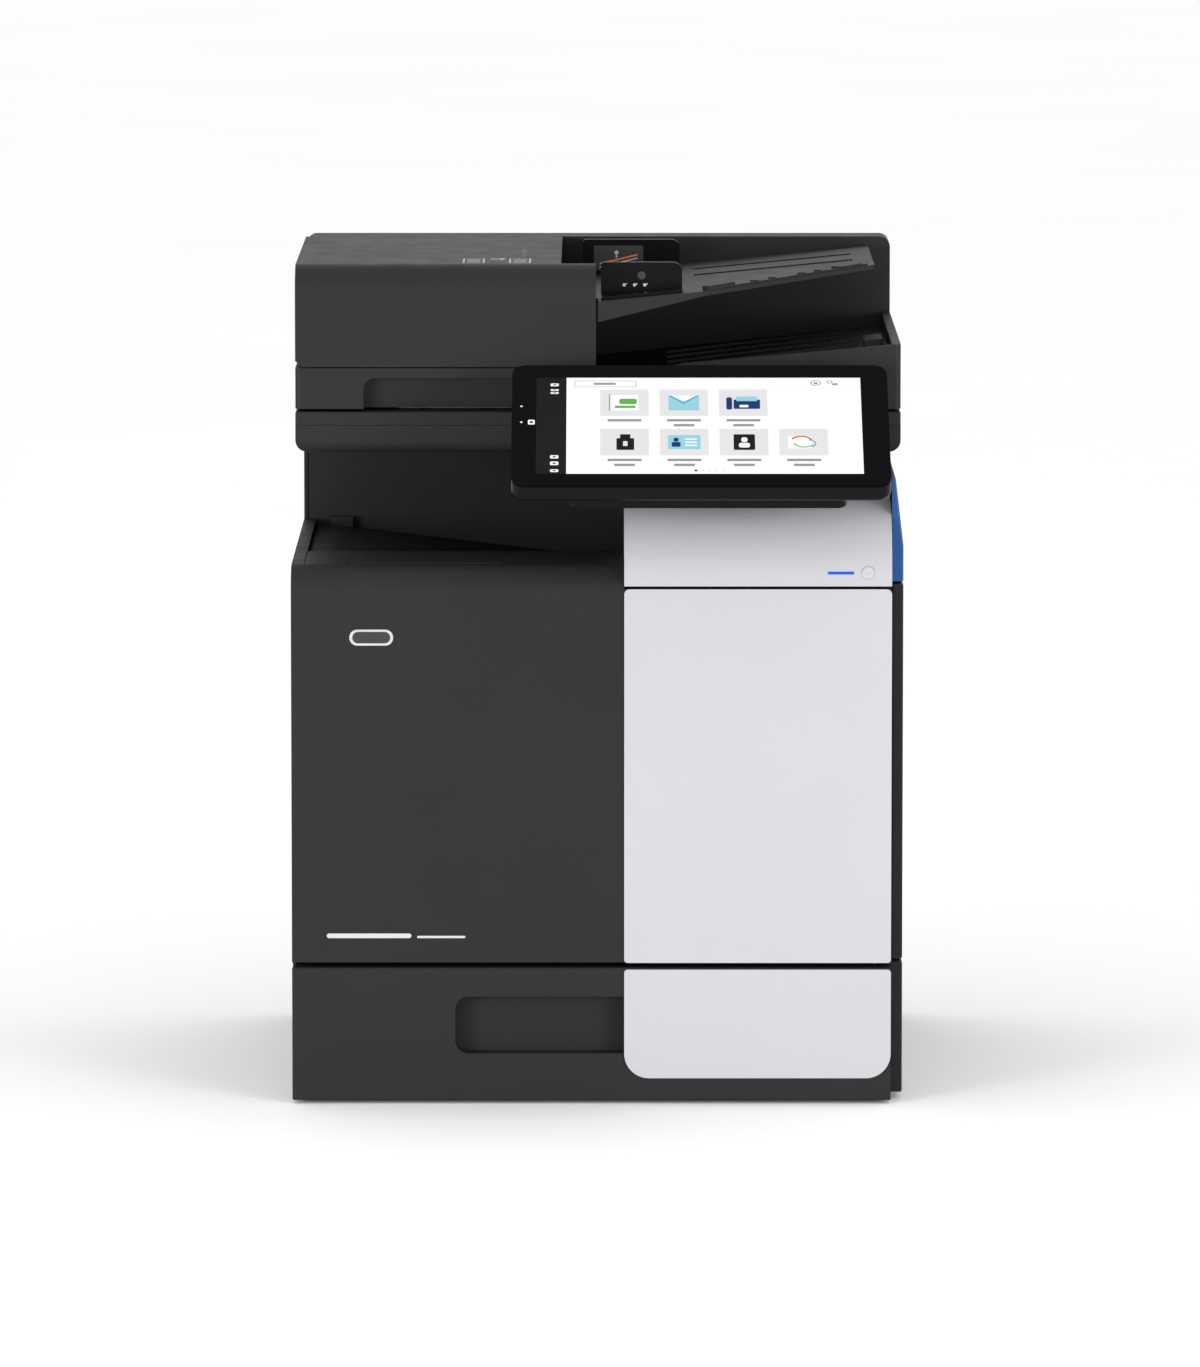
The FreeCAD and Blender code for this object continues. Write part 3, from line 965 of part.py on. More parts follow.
def rollers():
    face = (f"{FRAME_FRONT} + steel + 2 * seam", f"{FRAME_REAR} - 2 * seam")
    for name, (x, z, radius) in ROLLERS.items():
        piece = Piece(name)
        piece.rod("y", (x, z), "journal", SHAFT_Y)
        tyre = about(TUB_MIDDLE, "pickup_wide / 2") if name == "pickup_roller" else face
        piece.rod("y", (x, z), radius, tyre)
        if name == "photo_drum":
            drum_coupler(piece)
    piece = Piece("exit_roller")
    piece.rod("y", EXIT_AXIS, "journal", (f"{DECK_BACK} - skin", SHAFT_Y[1]))
    for n in range(EXIT_TYRES):
        piece.rod("y", EXIT_AXIS, "exit_radius", on(f"{DECK_BACK} + exit_first + {n} * exit_step",
                                                    "exit_wide"))


def drum_coupler(piece):
    """A flange with a ring of holes behind the rear frame, and a shaft end for the motor."""
    piece.rod("y", DRUM_AXIS, "journal", on(SHAFT_Y[1], "coupler_deep"))
    flange = (f"{SHAFT_Y[1]} + seam", f"{SHAFT_Y[1]} + coupler_deep / 2")
    piece.rod("y", DRUM_AXIS, "coupler_radius", flange)
    for n in range(COUPLER_HOLES):
        turn = 360 * n / COUPLER_HOLES
        spot = (f"{DRUM_AXIS[0]} + coupler_ring * cos({turn})",
                f"{DRUM_AXIS[1]} + coupler_ring * sin({turn})")
        piece.rod("y", spot, "coupler_hole", flange, cut=True)


def drive():
    """The main motor on the rear frame, around the end of the drum's shaft."""
    motor = Piece("main_motor")
    start = f"{SHAFT_Y[1]} + coupler_deep - motor_cap"
    end = f"{start} + motor_long"
    motor.rod("y", DRUM_AXIS, "motor_radius", (start, end))
    motor.rod("y", DRUM_AXIS, "motor_cap_radius", on(end, "motor_cap"))
    motor.rod("y", DRUM_AXIS, "journal + running", on(start, "motor_bearing"), cut=True)
    feet_z = (f"{DRUM_AXIS[1]} - motor_foot_top - motor_foot_high", f"{DRUM_AXIS[1]} - motor_foot_top")
    for x in (f"{DRUM_AXIS[0]} - motor_foot_out", f"{DRUM_AXIS[0]} + motor_foot_out - motor_foot"):
        motor.block(on(x, "motor_foot"), (FRAME_BACK, f"{start} + motor_cap"), feet_z)


def imaging():
    """The toner cartridge, which shows its handle in the front frame's window, and the laser unit under
    it."""
    toner = Piece("toner_cartridge")
    front = f"{FRAME_FRONT} - toner_proud"
    toner.block((TONER_LEFT, TONER_RIGHT), (front, f"{FRAME_REAR} - toner_rear"), ("toner_low", "toner_high"))
    toner.soften("6 * edge", "-x -z", "+x -z", "-x +z", "+x +z")
    toner.block(grown((TONER_LEFT, TONER_RIGHT), "-handle_in"), on(front, "handle_deep"),
                grown(("toner_low", "toner_high"), "-handle_rim"), cut=True)
    toner.soften("edge", "-y")
    laser = Piece("laser_unit")
    laser.block((TONER_LEFT, f"{DRUM_AXIS[0]} - laser_gap"), grown((FRAME_FRONT, FRAME_REAR), "-laser_end"),
                ("door_low + laser_low", "toner_low - laser_below"))
    laser.block(on(f"{TONER_LEFT} + shelf_in", "shelf_wide"), (f"{FRAME_FRONT} + steel", FRAME_REAR),
                on("door_low + shelf_low", "shelf_thick"))
    laser.soften("3 * edge", "-x +z", "+x +z", "-x -z", "+x -z")


# ---------------------------------------------------------------- fan, power supply, board and sockets

FAN = (f"({BAY_BACK} + fan_back)", "(door_low + fan_up)")
FAN_X = on(f"({LEFT} + skin + seam)", "fan_thick")
BLADES, BLADE_PITCH = 7, 35
BLADE = (12, 1.6, 26.5)        # along the shaft, thick, out from the shaft
SUPPLY_VENTS = 17
BOARD_Y = f"({BACK} - skin - board_back)"
CHIPS = [(20, 90, 40, 40, 8), (80, 100, 22, 22, 4), (115, 90, 14, 60, 4), (24, 30, 60, 8, 6),
         (20, 150, 24, 10, 10)]


def fan():
    """The fan's frame with a hub on four struts, and the rotor on the hub's pin."""
    frame = Piece("fan_frame")
    struts = (f"{FAN_X[1]} - strut", FAN_X[1])
    frame.block(FAN_X, about(FAN[0], "fan_half"), about(FAN[1], "fan_half"))
    frame.rod("x", FAN, "fan_bore", FAN_X, cut=True)
    frame.block(struts, about(FAN[0], "strut"), about(FAN[1], "(fan_half - seam)"))
    frame.block(struts, about(FAN[0], "(fan_half - seam)"), about(FAN[1], "strut"))
    frame.rod("x", FAN, "fan_hub", struts)
    frame.rod("x", FAN, "fan_pin", (f"{FAN_X[1]} - fan_hub", FAN_X[1]))
    rotor = Piece("fan_rotor")
    hub = (f"{FAN_X[0]} + strut", f"{FAN_X[1]} - 2 * strut")
    rotor.rod("x", FAN, "rotor_hub", hub)
    for n in range(BLADES):
        around = FreeCAD.Rotation(FreeCAD.Vector(1, 0, 0), n * 360 / BLADES)
        pitch = FreeCAD.Rotation(FreeCAD.Vector(0, 0, 1), BLADE_PITCH)
        blade = rotor.feature("AdditiveBox", "blade")
        blade.Placement = FreeCAD.Placement(FreeCAD.Vector(), around * pitch)
        blade.Length, blade.Width, blade.Height = BLADE
        for axis, place in (("x", f"{hub[0]} + steel"), ("y", FAN[0]), ("z", FAN[1])):
            bind(blade, f"Placement.Base.{axis}", place)
    rotor.rod("x", FAN, "fan_pin + running", (f"{FAN_X[1]} - fan_hub - seam", FAN_X[1]), cut=True)


def power_supply():
    supply = Piece("power_supply")
    across = on(f"({LEFT} + supply_left)", "supply_wide")
    rear = f"{BACK} - skin - supply_back"
    supply.block(across, (f"{FRAME_BACK} + supply_front", rear), on("(foot_high + steel)", "supply_high"))
    supply.soften("edge", "+z +y", "+z -y", "+z -x", "+z +x")
    first = (f"{across[0]} + motor_cap_radius", "foot_high + screw_inset")
    supply.slots("XZ", first, ("vent_wide", "supply_high / 2"), "vent_step + seam", SUPPLY_VENTS,
                 (f"{rear} - steel", rear))


def main_board():
    """The board on four standoffs, with its larger parts, and the shells of its sockets."""
    board = Piece("main_board")
    across = (f"({RIGHT} - board_right - board_wide)", f"({RIGHT} - board_right)")
    upward = on("(door_low + board_low)", "board_high")
    board.block(across, on(BOARD_Y, "board_thick"), upward)
    for right, up, wide, high, deep in CHIPS:
        board.block(on(f"{across[0]} + {right}", wide), (f"{BOARD_Y} - {deep}", BOARD_Y),
                    on(f"{upward[0]} + {up}", high))
    for x in (f"{across[0]} + standoff_in", f"{across[1]} - standoff_in - standoff"):
        for z in (f"{upward[0]} + standoff_in", f"{upward[1]} - standoff_in - standoff"):
            board.block(on(x, "standoff"), (FRAME_BACK, BOARD_Y), on(z, "standoff"))
    ports = Piece("rear_ports")
    shell_y = (f"{BOARD_Y} + board_thick", f"{BACK} - slack")
    for right, wide, high in PORTS:
        x, z = grown(on(f"{PORT_X} + {right}", wide), "-slack"), grown(on(PORT_LOW, high), "-slack")
        ports.block(x, shell_y, z)
        ports.block(grown(x, "-seam"), (f"{BOARD_Y} + standoff", shell_y[1]), grown(z, "-seam"), cut=True)


def power_inlet():
    """The inlet with its three blades, and beside it a rocker switch on a pin."""
    inlet = Piece("power_inlet")
    x, z = about(INLET_X, "(inlet_wide / 2 - slack)"), grown(on(INLET_LOW, "inlet_high"), "-slack")
    y = (f"{BACK} - inlet_deep", f"{BACK} - slack")
    behind = f"{BACK} - skin - slack"
    box = about(SWITCH_X, "(switch_wide / 2 + 2 * seam)")
    well = grown(box, "-inlet_wall")
    inlet.block(x, y, z)
    inlet.block(grown(x, "-inlet_wall"), (f"{y[0]} + screw_long", y[1]), grown(z, "-inlet_wall"), cut=True)
    inlet.block((x[1], box[1]), (y[0], behind), grown(z, "2 * seam"))
    inlet.block(well, (f"{BACK} - rocker_high", behind), z, cut=True)
    inlet.rod("x", ROCKER_AXIS, "rocker_pin + running", grown(box, "-seam"), cut=True)
    for right, up in ((-7, 9), (0, 12), (7, 9)):       # the blades' places from the inlet's middle and foot
        inlet.block(about(f"{INLET_X} + {right}", "blade_wide / 2"),
                    (f"{y[0]} + lug_half", f"{y[1]} - blade_high"),
                    about(f"{INLET_LOW} + {up}", "blade_high / 2"))
    rocker = Piece("mains_switch")
    rocker.block(grown(well, "-slack"), (f"{BACK} - rocker_deep", f"{BACK} - slack"),
                 about(ROCKER_AXIS[1], "rocker_high / 2"))
    rocker.soften("edge", "+y -z", "+y +z")
    rocker.rod("x", ROCKER_AXIS, "rocker_pin", grown(box, "-seam - 2 * flush"))


for build in (feet, bottom_plate, frames, left_cover, right_covers, rear_cover, cassette, front_door,
              output_deck,
              shoulder, side_door, scanner, lid, feeder, sheet_tray, touch_panel, rollers, drive, imaging,
              fan, power_supply, main_board, power_inlet):
    build()
doc.recompute()

for thing in doc.Objects:
    if {"Invalid", "Error"} & set(thing.State):
        raise DesignError(f"{thing.Label}: {thing.State}")
os.makedirs("parts", exist_ok=True)
for body in PIECES:
    if body.Shape.isNull() or not body.Shape.isValid():
        raise DesignError(f"{body.Label} isn't a valid shape")
    body.Shape.exportStep(f"parts/{body.Label}.step")
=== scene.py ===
"""Materials, printed and moulded details, light and camera for the photocopier.

Metres, in the CAD frame: +X right, +Y back, +Z up, the origin on the floor under the middle.
"""
import json
import math

import bpy
from mathutils import Matrix, Vector


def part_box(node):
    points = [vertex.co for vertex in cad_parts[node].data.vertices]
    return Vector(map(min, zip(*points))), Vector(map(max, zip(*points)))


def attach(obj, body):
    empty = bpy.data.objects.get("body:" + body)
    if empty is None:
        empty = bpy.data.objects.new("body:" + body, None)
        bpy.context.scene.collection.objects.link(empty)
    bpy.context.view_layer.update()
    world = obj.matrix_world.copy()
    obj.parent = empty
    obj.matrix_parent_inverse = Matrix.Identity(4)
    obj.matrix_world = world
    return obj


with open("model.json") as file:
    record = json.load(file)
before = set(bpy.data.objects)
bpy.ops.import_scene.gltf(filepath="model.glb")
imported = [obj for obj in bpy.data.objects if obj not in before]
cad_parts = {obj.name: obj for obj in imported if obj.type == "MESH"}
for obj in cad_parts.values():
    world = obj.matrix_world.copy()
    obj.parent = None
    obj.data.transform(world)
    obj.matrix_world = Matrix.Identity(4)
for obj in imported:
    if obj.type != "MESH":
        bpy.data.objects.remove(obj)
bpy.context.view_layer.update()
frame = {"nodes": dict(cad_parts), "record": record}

MM = 0.001
LAYER = 0.05 * MM                     # how thick a printed layer is

# ------------------------------------------------------------------ materials


def shader(name):
    """A new node material: the material, its nodes, its links and its principled shader."""
    material = bpy.data.materials.new(name)
    material.use_nodes = True
    tree = material.node_tree
    return material, tree.nodes, tree.links, tree.nodes["Principled BSDF"]


def place(nodes, links, stretch=(1, 1, 1)):
    """Object coordinates in metres, stretched by a factor on each axis."""
    coordinates = nodes.new("ShaderNodeTexCoord")
    mapping = nodes.new("ShaderNodeMapping")
    mapping.inputs["Scale"].default_value = stretch
    links.new(coordinates.outputs["Object"], mapping.inputs["Vector"])
    return mapping.outputs["Vector"]


def noise(nodes, links, vector, scale, detail=2.0):
    made = nodes.new("ShaderNodeTexNoise")
    made.inputs["Scale"].default_value = scale
    made.inputs["Detail"].default_value = detail
    links.new(vector, made.inputs["Vector"])
    return made.outputs["Fac"]


def ramp(nodes, links, value, low, high):
    """Two colours, or two greys given as numbers, blended by a value."""
    made = nodes.new("ShaderNodeValToRGB")
    for element, colour in zip(made.color_ramp.elements, (low, high)):
        element.color = (*colour, 1) if isinstance(colour, tuple) else (colour, colour, colour, 1)
    made.color_ramp.elements[0].position = 0.3
    made.color_ramp.elements[1].position = 0.7
    links.new(value, made.inputs["Fac"])
    return made.outputs["Color"]


def bump(nodes, links, principled, height, depth, strength=1.0):
    made = nodes.new("ShaderNodeBump")
    made.inputs["Strength"].default_value = strength
    made.inputs["Distance"].default_value = depth
    links.new(height, made.inputs["Height"])
    links.new(made.outputs["Normal"], principled.inputs["Normal"])


def shade(colour, factor):
    return tuple(channel * factor for channel in colour)


def moulded(name, colour, roughness, grain=1400, depth=0.00004, spread=0.05, coat=0.0, specular=0.5,
            stretch=(1, 1, 1)):
    """Moulded plastic or rubber: a fine texture, with slight changes of tone and gloss."""
    material, nodes, links, principled = shader(name)
    vector = place(nodes, links, stretch)
    tone = noise(nodes, links, vector, 9, 3)
    blend = ramp(nodes, links, tone, shade(colour, 1 - spread), shade(colour, 1 + spread))
    links.new(blend, principled.inputs["Base Color"])
    gloss = noise(nodes, links, vector, 60, 2)
    sheen = ramp(nodes, links, gloss, roughness * 0.93, min(roughness * 1.07, 1.0))
    links.new(sheen, principled.inputs["Roughness"])
    bump(nodes, links, principled, noise(nodes, links, vector, grain, 1), depth, 0.5)
    principled.inputs["Specular IOR Level"].default_value = specular
    principled.inputs["Coat Weight"].default_value = coat
    principled.inputs["Coat Roughness"].default_value = 0.08
    return material


def metal(name, colour, roughness, stretch):
    """Steel with a drawn or brushed grain along one axis."""
    material, nodes, links, principled = shader(name)
    vector = place(nodes, links, stretch)
    grain = noise(nodes, links, vector, 900, 2)
    links.new(ramp(nodes, links, grain, shade(colour, 0.9), colour), principled.inputs["Base Color"])
    links.new(ramp(nodes, links, grain, roughness * 0.8, roughness * 1.2), principled.inputs["Roughness"])
    bump(nodes, links, principled, grain, 0.00002, 0.4)
    principled.inputs["Metallic"].default_value = 1.0
    return material


def lit(name, colour, strength, spread=0.02):
    """A lit face, such as a lamp's lens or a screen, with a trace of unevenness."""
    material, nodes, links, principled = shader(name)
    tone = noise(nodes, links, place(nodes, links), 30, 2)
    glow = ramp(nodes, links, tone, shade(colour, 1 - spread), shade(colour, 1 + spread))
    links.new(glow, principled.inputs["Emission Color"])
    principled.inputs["Emission Strength"].default_value = strength
    principled.inputs["Base Color"].default_value = (*shade(colour, 0.02), 1)
    principled.inputs["Roughness"].default_value = 0.25
    principled.inputs["Specular IOR Level"].default_value = 0.02
    return material


def clear_glass():
    material, nodes, links, principled = shader("clear_glass")
    smear = noise(nodes, links, place(nodes, links), 14, 3)
    links.new(ramp(nodes, links, smear, 0.02, 0.07), principled.inputs["Roughness"])
    principled.inputs["Base Color"].default_value = (0.83, 0.93, 0.9, 1)
    principled.inputs["Transmission Weight"].default_value = 1.0
    principled.inputs["IOR"].default_value = 1.5
    return material


def printed(name, colour):
    """A flat printed colour with a very fine grain."""
    return moulded(name, colour, 0.5, grain=3000, depth=0.00001, specular=0.3)


MATERIALS = {
    "charcoal_plastic": moulded("charcoal_plastic", (0.0162, 0.0162, 0.017), 0.5, specular=0.1),
    "dark_plastic": moulded("dark_plastic", (0.009, 0.009, 0.010), 0.55, specular=0.3),
    "white_plastic": moulded("white_plastic", (0.376, 0.37, 0.392), 0.42, spread=0.012, specular=0.35),
    "blue_plastic": moulded("blue_plastic", (0.004, 0.055, 0.2), 0.4, specular=0.3),
    "black_gloss": moulded("black_gloss", (0.004, 0.004, 0.0045), 0.25, depth=0.00001, specular=0.08),
    "screen_glass": moulded("screen_glass", (0.002, 0.002, 0.0025), 0.06, grain=300, depth=0.000002,
                            specular=0.01),
    "clear_glass": clear_glass(),
    "light_lens": lit("light_lens", (0.025, 0.13, 0.86), 1.0),
    "white_foam": moulded("white_foam", (0.8, 0.8, 0.79), 0.85, grain=700, depth=0.0001),
    "rubber": moulded("rubber", (0.012, 0.012, 0.013), 0.8, grain=900, depth=0.0001, specular=0.3),
    "drum_coating": moulded("drum_coating", (0.02, 0.13, 0.14), 0.15, coat=1.0, depth=0.000004),
    "bright_steel": metal("bright_steel", (0.6, 0.6, 0.61), 0.32, (1, 0.05, 1)),
    "steel_sheet": moulded("steel_sheet", (0.03, 0.03, 0.032), 0.5, grain=2200, depth=0.00003, specular=0.4),
    "circuit_board": moulded("circuit_board", (0.015, 0.12, 0.05), 0.35, stretch=(1, 1, 6)),
}
RECORD_SLOT = {entry["node"]: entry["material_slot"] for entry in frame["record"]["subparts"]}
for node, part in frame["nodes"].items():
    part.data.materials.clear()
    part.data.materials.append(MATERIALS[RECORD_SLOT[node]])

INK = {
    "ink_white": lit("ink_white", (0.95, 0.955, 0.97), 1.03, 0.005),
    "ink_tile": lit("ink_tile", (0.78, 0.78, 0.785), 1.0, 0.01),
    "ink_line": lit("ink_line", (0.33, 0.33, 0.34), 0.95),
    "ink_dark": lit("ink_dark", (0.011, 0.011, 0.013), 0.9),
    "ink_green": lit("ink_green", (0.13, 0.48, 0.07), 0.95),
    "ink_cyan": lit("ink_cyan", (0.10, 0.47, 0.62), 0.95),
    "ink_pale_cyan": lit("ink_pale_cyan", (0.33, 0.68, 0.78), 0.95),
    "ink_navy": lit("ink_navy", (0.012, 0.045, 0.17), 0.95),
    "ink_red": lit("ink_red", (0.62, 0.07, 0.05), 0.95),
    # Near black: painted shade for the hollows of the feeder's lever slot and the screws' cross recesses,
    # and the dark top of the ramp's stop block.
    "dark_print_and_painted_shade": printed("dark_print_and_painted_shade", (0.003, 0.003, 0.003)),
    "print_label": printed("print_label", (0.022, 0.022, 0.024)),
    "print_grey": printed("print_grey", (0.42, 0.42, 0.43)),
    "print_silver": metal("print_silver", (0.62, 0.62, 0.64), 0.3, (0.05, 1, 1)),
    "print_orange": printed("print_orange", (0.5, 0.14, 0.03)),
}

# ------------------------------------------------------------------ how a piece is made


def make(name, material, body, verts, faces, matrix=Matrix.Identity(4)):
    """A mesh piece that rides on a CAD body."""
    mesh = bpy.data.meshes.new(name)
    mesh.from_pydata([matrix @ Vector(v) for v in verts], [], faces)
    mesh.materials.append(material)
    mesh.update()
    piece = bpy.data.objects.new(name, mesh)
    bpy.context.scene.collection.objects.link(piece)
    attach(piece, body)
    return piece


class Print:
    """Flat or raised shapes laid on a plane, gathered by ink and joined into one piece for each ink."""

    def __init__(self, name, matrix, body, slot):
        self.name, self.matrix, self.body, self.slot = name, matrix, body, slot
        self.shapes = {}

    def shape(self, ink, points, base=0.0, high=LAYER):
        """A prism on an outline given in metres across and up the plane."""
        verts, faces = self.shapes.setdefault(ink, ([], []))
        start, count = len(verts), len(points)
        verts += [(u, v, base) for u, v in points] + [(u, v, base + high) for u, v in points]
        faces.append([start + count + n for n in range(count)])
        faces.append([start + n for n in reversed(range(count))])
        for n in range(count):
            m = (n + 1) % count
            faces.append([start + n, start + m, start + count + m, start + count + n])

    def bar(self, ink, u, v, wide, high, radius=0.0, base=0.0, thick=LAYER):
        self.shape(ink, rounded(u, v, wide, high, radius), base, thick)

    def disc(self, ink, u, v, radius, base=0.0, thick=LAYER, sides=24):
        turns = [2 * math.pi * n / sides for n in range(sides)]
        self.shape(ink, [(u + radius * math.cos(t), v + radius * math.sin(t)) for t in turns], base, thick)

    def ring(self, ink, u, v, outer, inner, base=0.0, start=0.0, sweep=360.0, sides=32, thick=LAYER):
        """A ring, or an arc of one, as a row of quads."""
        for n in range(sides):
            a, b = (math.radians(start + sweep * k / sides) for k in (n, n + 1))
            corners = ((inner, a), (outer, a), (outer, b), (inner, b))
            self.shape(ink, [(u + r * math.cos(t), v + r * math.sin(t)) for r, t in corners], base, thick)

    def strip(self, ink, points, wide, base=0.0, thick=LAYER):
        """A row of quads that follows points, each as wide as given across v."""
        for (u, v), (next_u, next_v) in zip(points, points[1:]):
            self.shape(ink, [(u, v), (next_u, next_v), (next_u, next_v + wide), (u, v + wide)], base, thick)

    def outline(self, ink, u, v, wide, high, line, base=0.0):
        for left in (u, u + wide - line):
            self.bar(ink, left, v, line, high, base=base)
        for low in (v, v + high - line):
            self.bar(ink, u, low, wide, line, base=base)

    def done(self):
        for ink, (verts, faces) in self.shapes.items():
            material = INK.get(ink) or MATERIALS[ink]
            make(f"{self.name}_{ink}", material, self.body, verts, faces, self.matrix)


def rounded(u, v, wide, high, radius, steps=6):
    """A rectangle's outline from its lowest corner, with round corners if radius isn't 0."""
    if radius <= 0:
        return [(u, v), (u + wide, v), (u + wide, v + high), (u, v + high)]
    centres = ((u + wide - radius, v + radius), (u + wide - radius, v + high - radius),
               (u + radius, v + high - radius), (u + radius, v + radius))
    return [(cu + radius * math.cos(math.radians(-90 + 90 * corner + 90 * n / steps)),
             cv + radius * math.sin(math.radians(-90 + 90 * corner + 90 * n / steps)))
            for corner, (cu, cv) in enumerate(centres) for n in range(steps + 1)]


def facing_front(x, y, z):
    """A plane facing the front, with u to the right and v up from a point."""
    return Matrix(((1, 0, 0, x), (0, 0, -1, y), (0, 1, 0, z), (0, 0, 0, 1)))


def facing_up(x, y, z, slope=0.0):
    """A plane facing up, with u to the right and v to the back, rising to the right by slope degrees."""
    return Matrix.Translation((x, y, z)) @ Matrix.Rotation(math.radians(-slope), 4, "Y")


# ------------------------------------------------------------------ the touch panel's screen

glass_low, glass_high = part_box("panel_glass")
# The panel's tilt, its height and how far the glass's face stands out, as in the CAD.
PANEL_TILT = math.radians(26.5)
PANEL_TALL = 155 * MM
GLASS_THICK = 1.6 * MM
glass_back = glass_high.y - GLASS_THICK * math.sin(PANEL_TILT)
panel_plane = (Matrix.Translation((glass_low.x, glass_back, glass_high.z))
               @ Matrix.Rotation(PANEL_TILT, 4, "X")
               @ Matrix.Translation((0, -PANEL_TALL, 0)))
LCD_LEFT, LCD_TOP, LCD_WIDE, LCD_TALL = 16.6 * MM, 138.5 * MM, 221 * MM, 123.5 * MM
STRIP = 20.5 * MM
TILE_WIDE, TILE_TALL = 33 * MM, 34 * MM
FIRST_TILE, TILE_STEP = 43.4 * MM, 40.4 * MM
ROW_TOPS = (15.5, 66.3)


def from_top(down):
    """The height above the screen's foot of a place given in millimetres below its top."""
    return LCD_TALL - down * MM


def screen():
    """The lit screen: a dark strip of keys on the left, and a white page with a head and seven tiles."""
    lcd = panel_plane @ Matrix.Translation((LCD_LEFT, LCD_TOP - LCD_TALL, 0))
    page = Print("screen", lcd, "touch_panel", "screen_glass")
    page.bar("ink_dark", 0, 0, STRIP, LCD_TALL)
    page.bar("ink_white", STRIP, 0, LCD_WIDE - STRIP, LCD_TALL)
    columns = [FIRST_TILE + n * TILE_STEP for n in range(4)]
    page_head(page)
    tiles(page, columns)
    icons(page, columns, 2 * LAYER)
    page_foot_and_keys(page)
    page.done()


def page_head(page):
    """A box with a bar in it, two round marks with bars, and a rule, across the top of the page."""
    page.outline("ink_line", 26 * MM, from_top(12), 42 * MM, 8 * MM, 0.4 * MM, LAYER)
    page.bar("ink_line", 39 * MM, from_top(9.2), 15 * MM, 2.6 * MM, base=LAYER)
    page.ring("ink_line", 190.5 * MM, from_top(6.8), 3.6 * MM, 2.9 * MM, LAYER)
    page.bar("ink_line", 189.2 * MM, from_top(8.3), 2.6 * MM, 2.4 * MM, base=LAYER)
    page.ring("ink_line", 200 * MM, from_top(5.5), 2 * MM, 1.3 * MM, LAYER)
    page.bar("ink_line", 201.5 * MM, from_top(9.5), 4 * MM, 2.2 * MM, base=LAYER)
    page.bar("ink_tile", STRIP, from_top(14.4), LCD_WIDE - STRIP, 0.35 * MM, base=LAYER)


def tiles(page, columns):
    """Three tiles above four, with one or two bars under each where the photo has words."""
    for row, (top, count) in enumerate(zip(ROW_TOPS, (3, 4))):
        for column in columns[:count]:
            page.bar("ink_tile", column, from_top(top) - TILE_TALL, TILE_WIDE, TILE_TALL, 1.2 * MM,
                     base=LAYER)
            page.bar("ink_line", column + 5 * MM, from_top(top + 41.2), 23 * MM, 3.0 * MM, base=LAYER)
            if row or column > columns[0]:
                page.bar("ink_line", column + 9.5 * MM, from_top(top + 47.5), 14 * MM, 3.0 * MM, base=LAYER)


def page_foot_and_keys(page):
    """Five dots at the page's foot, and six plain keys on the dark strip."""
    for n in range(5):
        ink = "ink_dark" if n == 0 else "ink_tile"
        page.disc(ink, (108 + 4.6 * n) * MM, from_top(119.5), 1.1 * MM, base=LAYER, sides=12)
    for down, tall in ((7.5, 3.5), (15, 2.2), (18.8, 2.2), (100, 4.2), (108, 4.6), (118, 3.4)):
        page.bar("ink_white", 9.6 * MM, from_top(down + tall), 5.6 * MM, tall * MM, 0.9 * MM, base=LAYER)
        page.bar("ink_dark", 11.4 * MM, from_top(down + tall * 0.68), 2 * MM, tall * 0.36 * MM,
                 base=2 * LAYER)


def bezel_marks():
    """Two dots and a small key on the dark glass, left of the lit screen."""
    marks = Print("bezel_marks", panel_plane, "touch_panel", "screen_glass")
    for down in (53.5, 74):
        marks.disc("ink_white", 6.5 * MM, PANEL_TALL - down * MM, 0.9 * MM, sides=12)
    marks.bar("ink_white", 11 * MM, PANEL_TALL - 77 * MM, 4.6 * MM, 6 * MM, 0.8 * MM)
    marks.bar("ink_dark", 12.2 * MM, PANEL_TALL - 75.2 * MM, 2.2 * MM, 2.4 * MM, base=LAYER)
    marks.done()


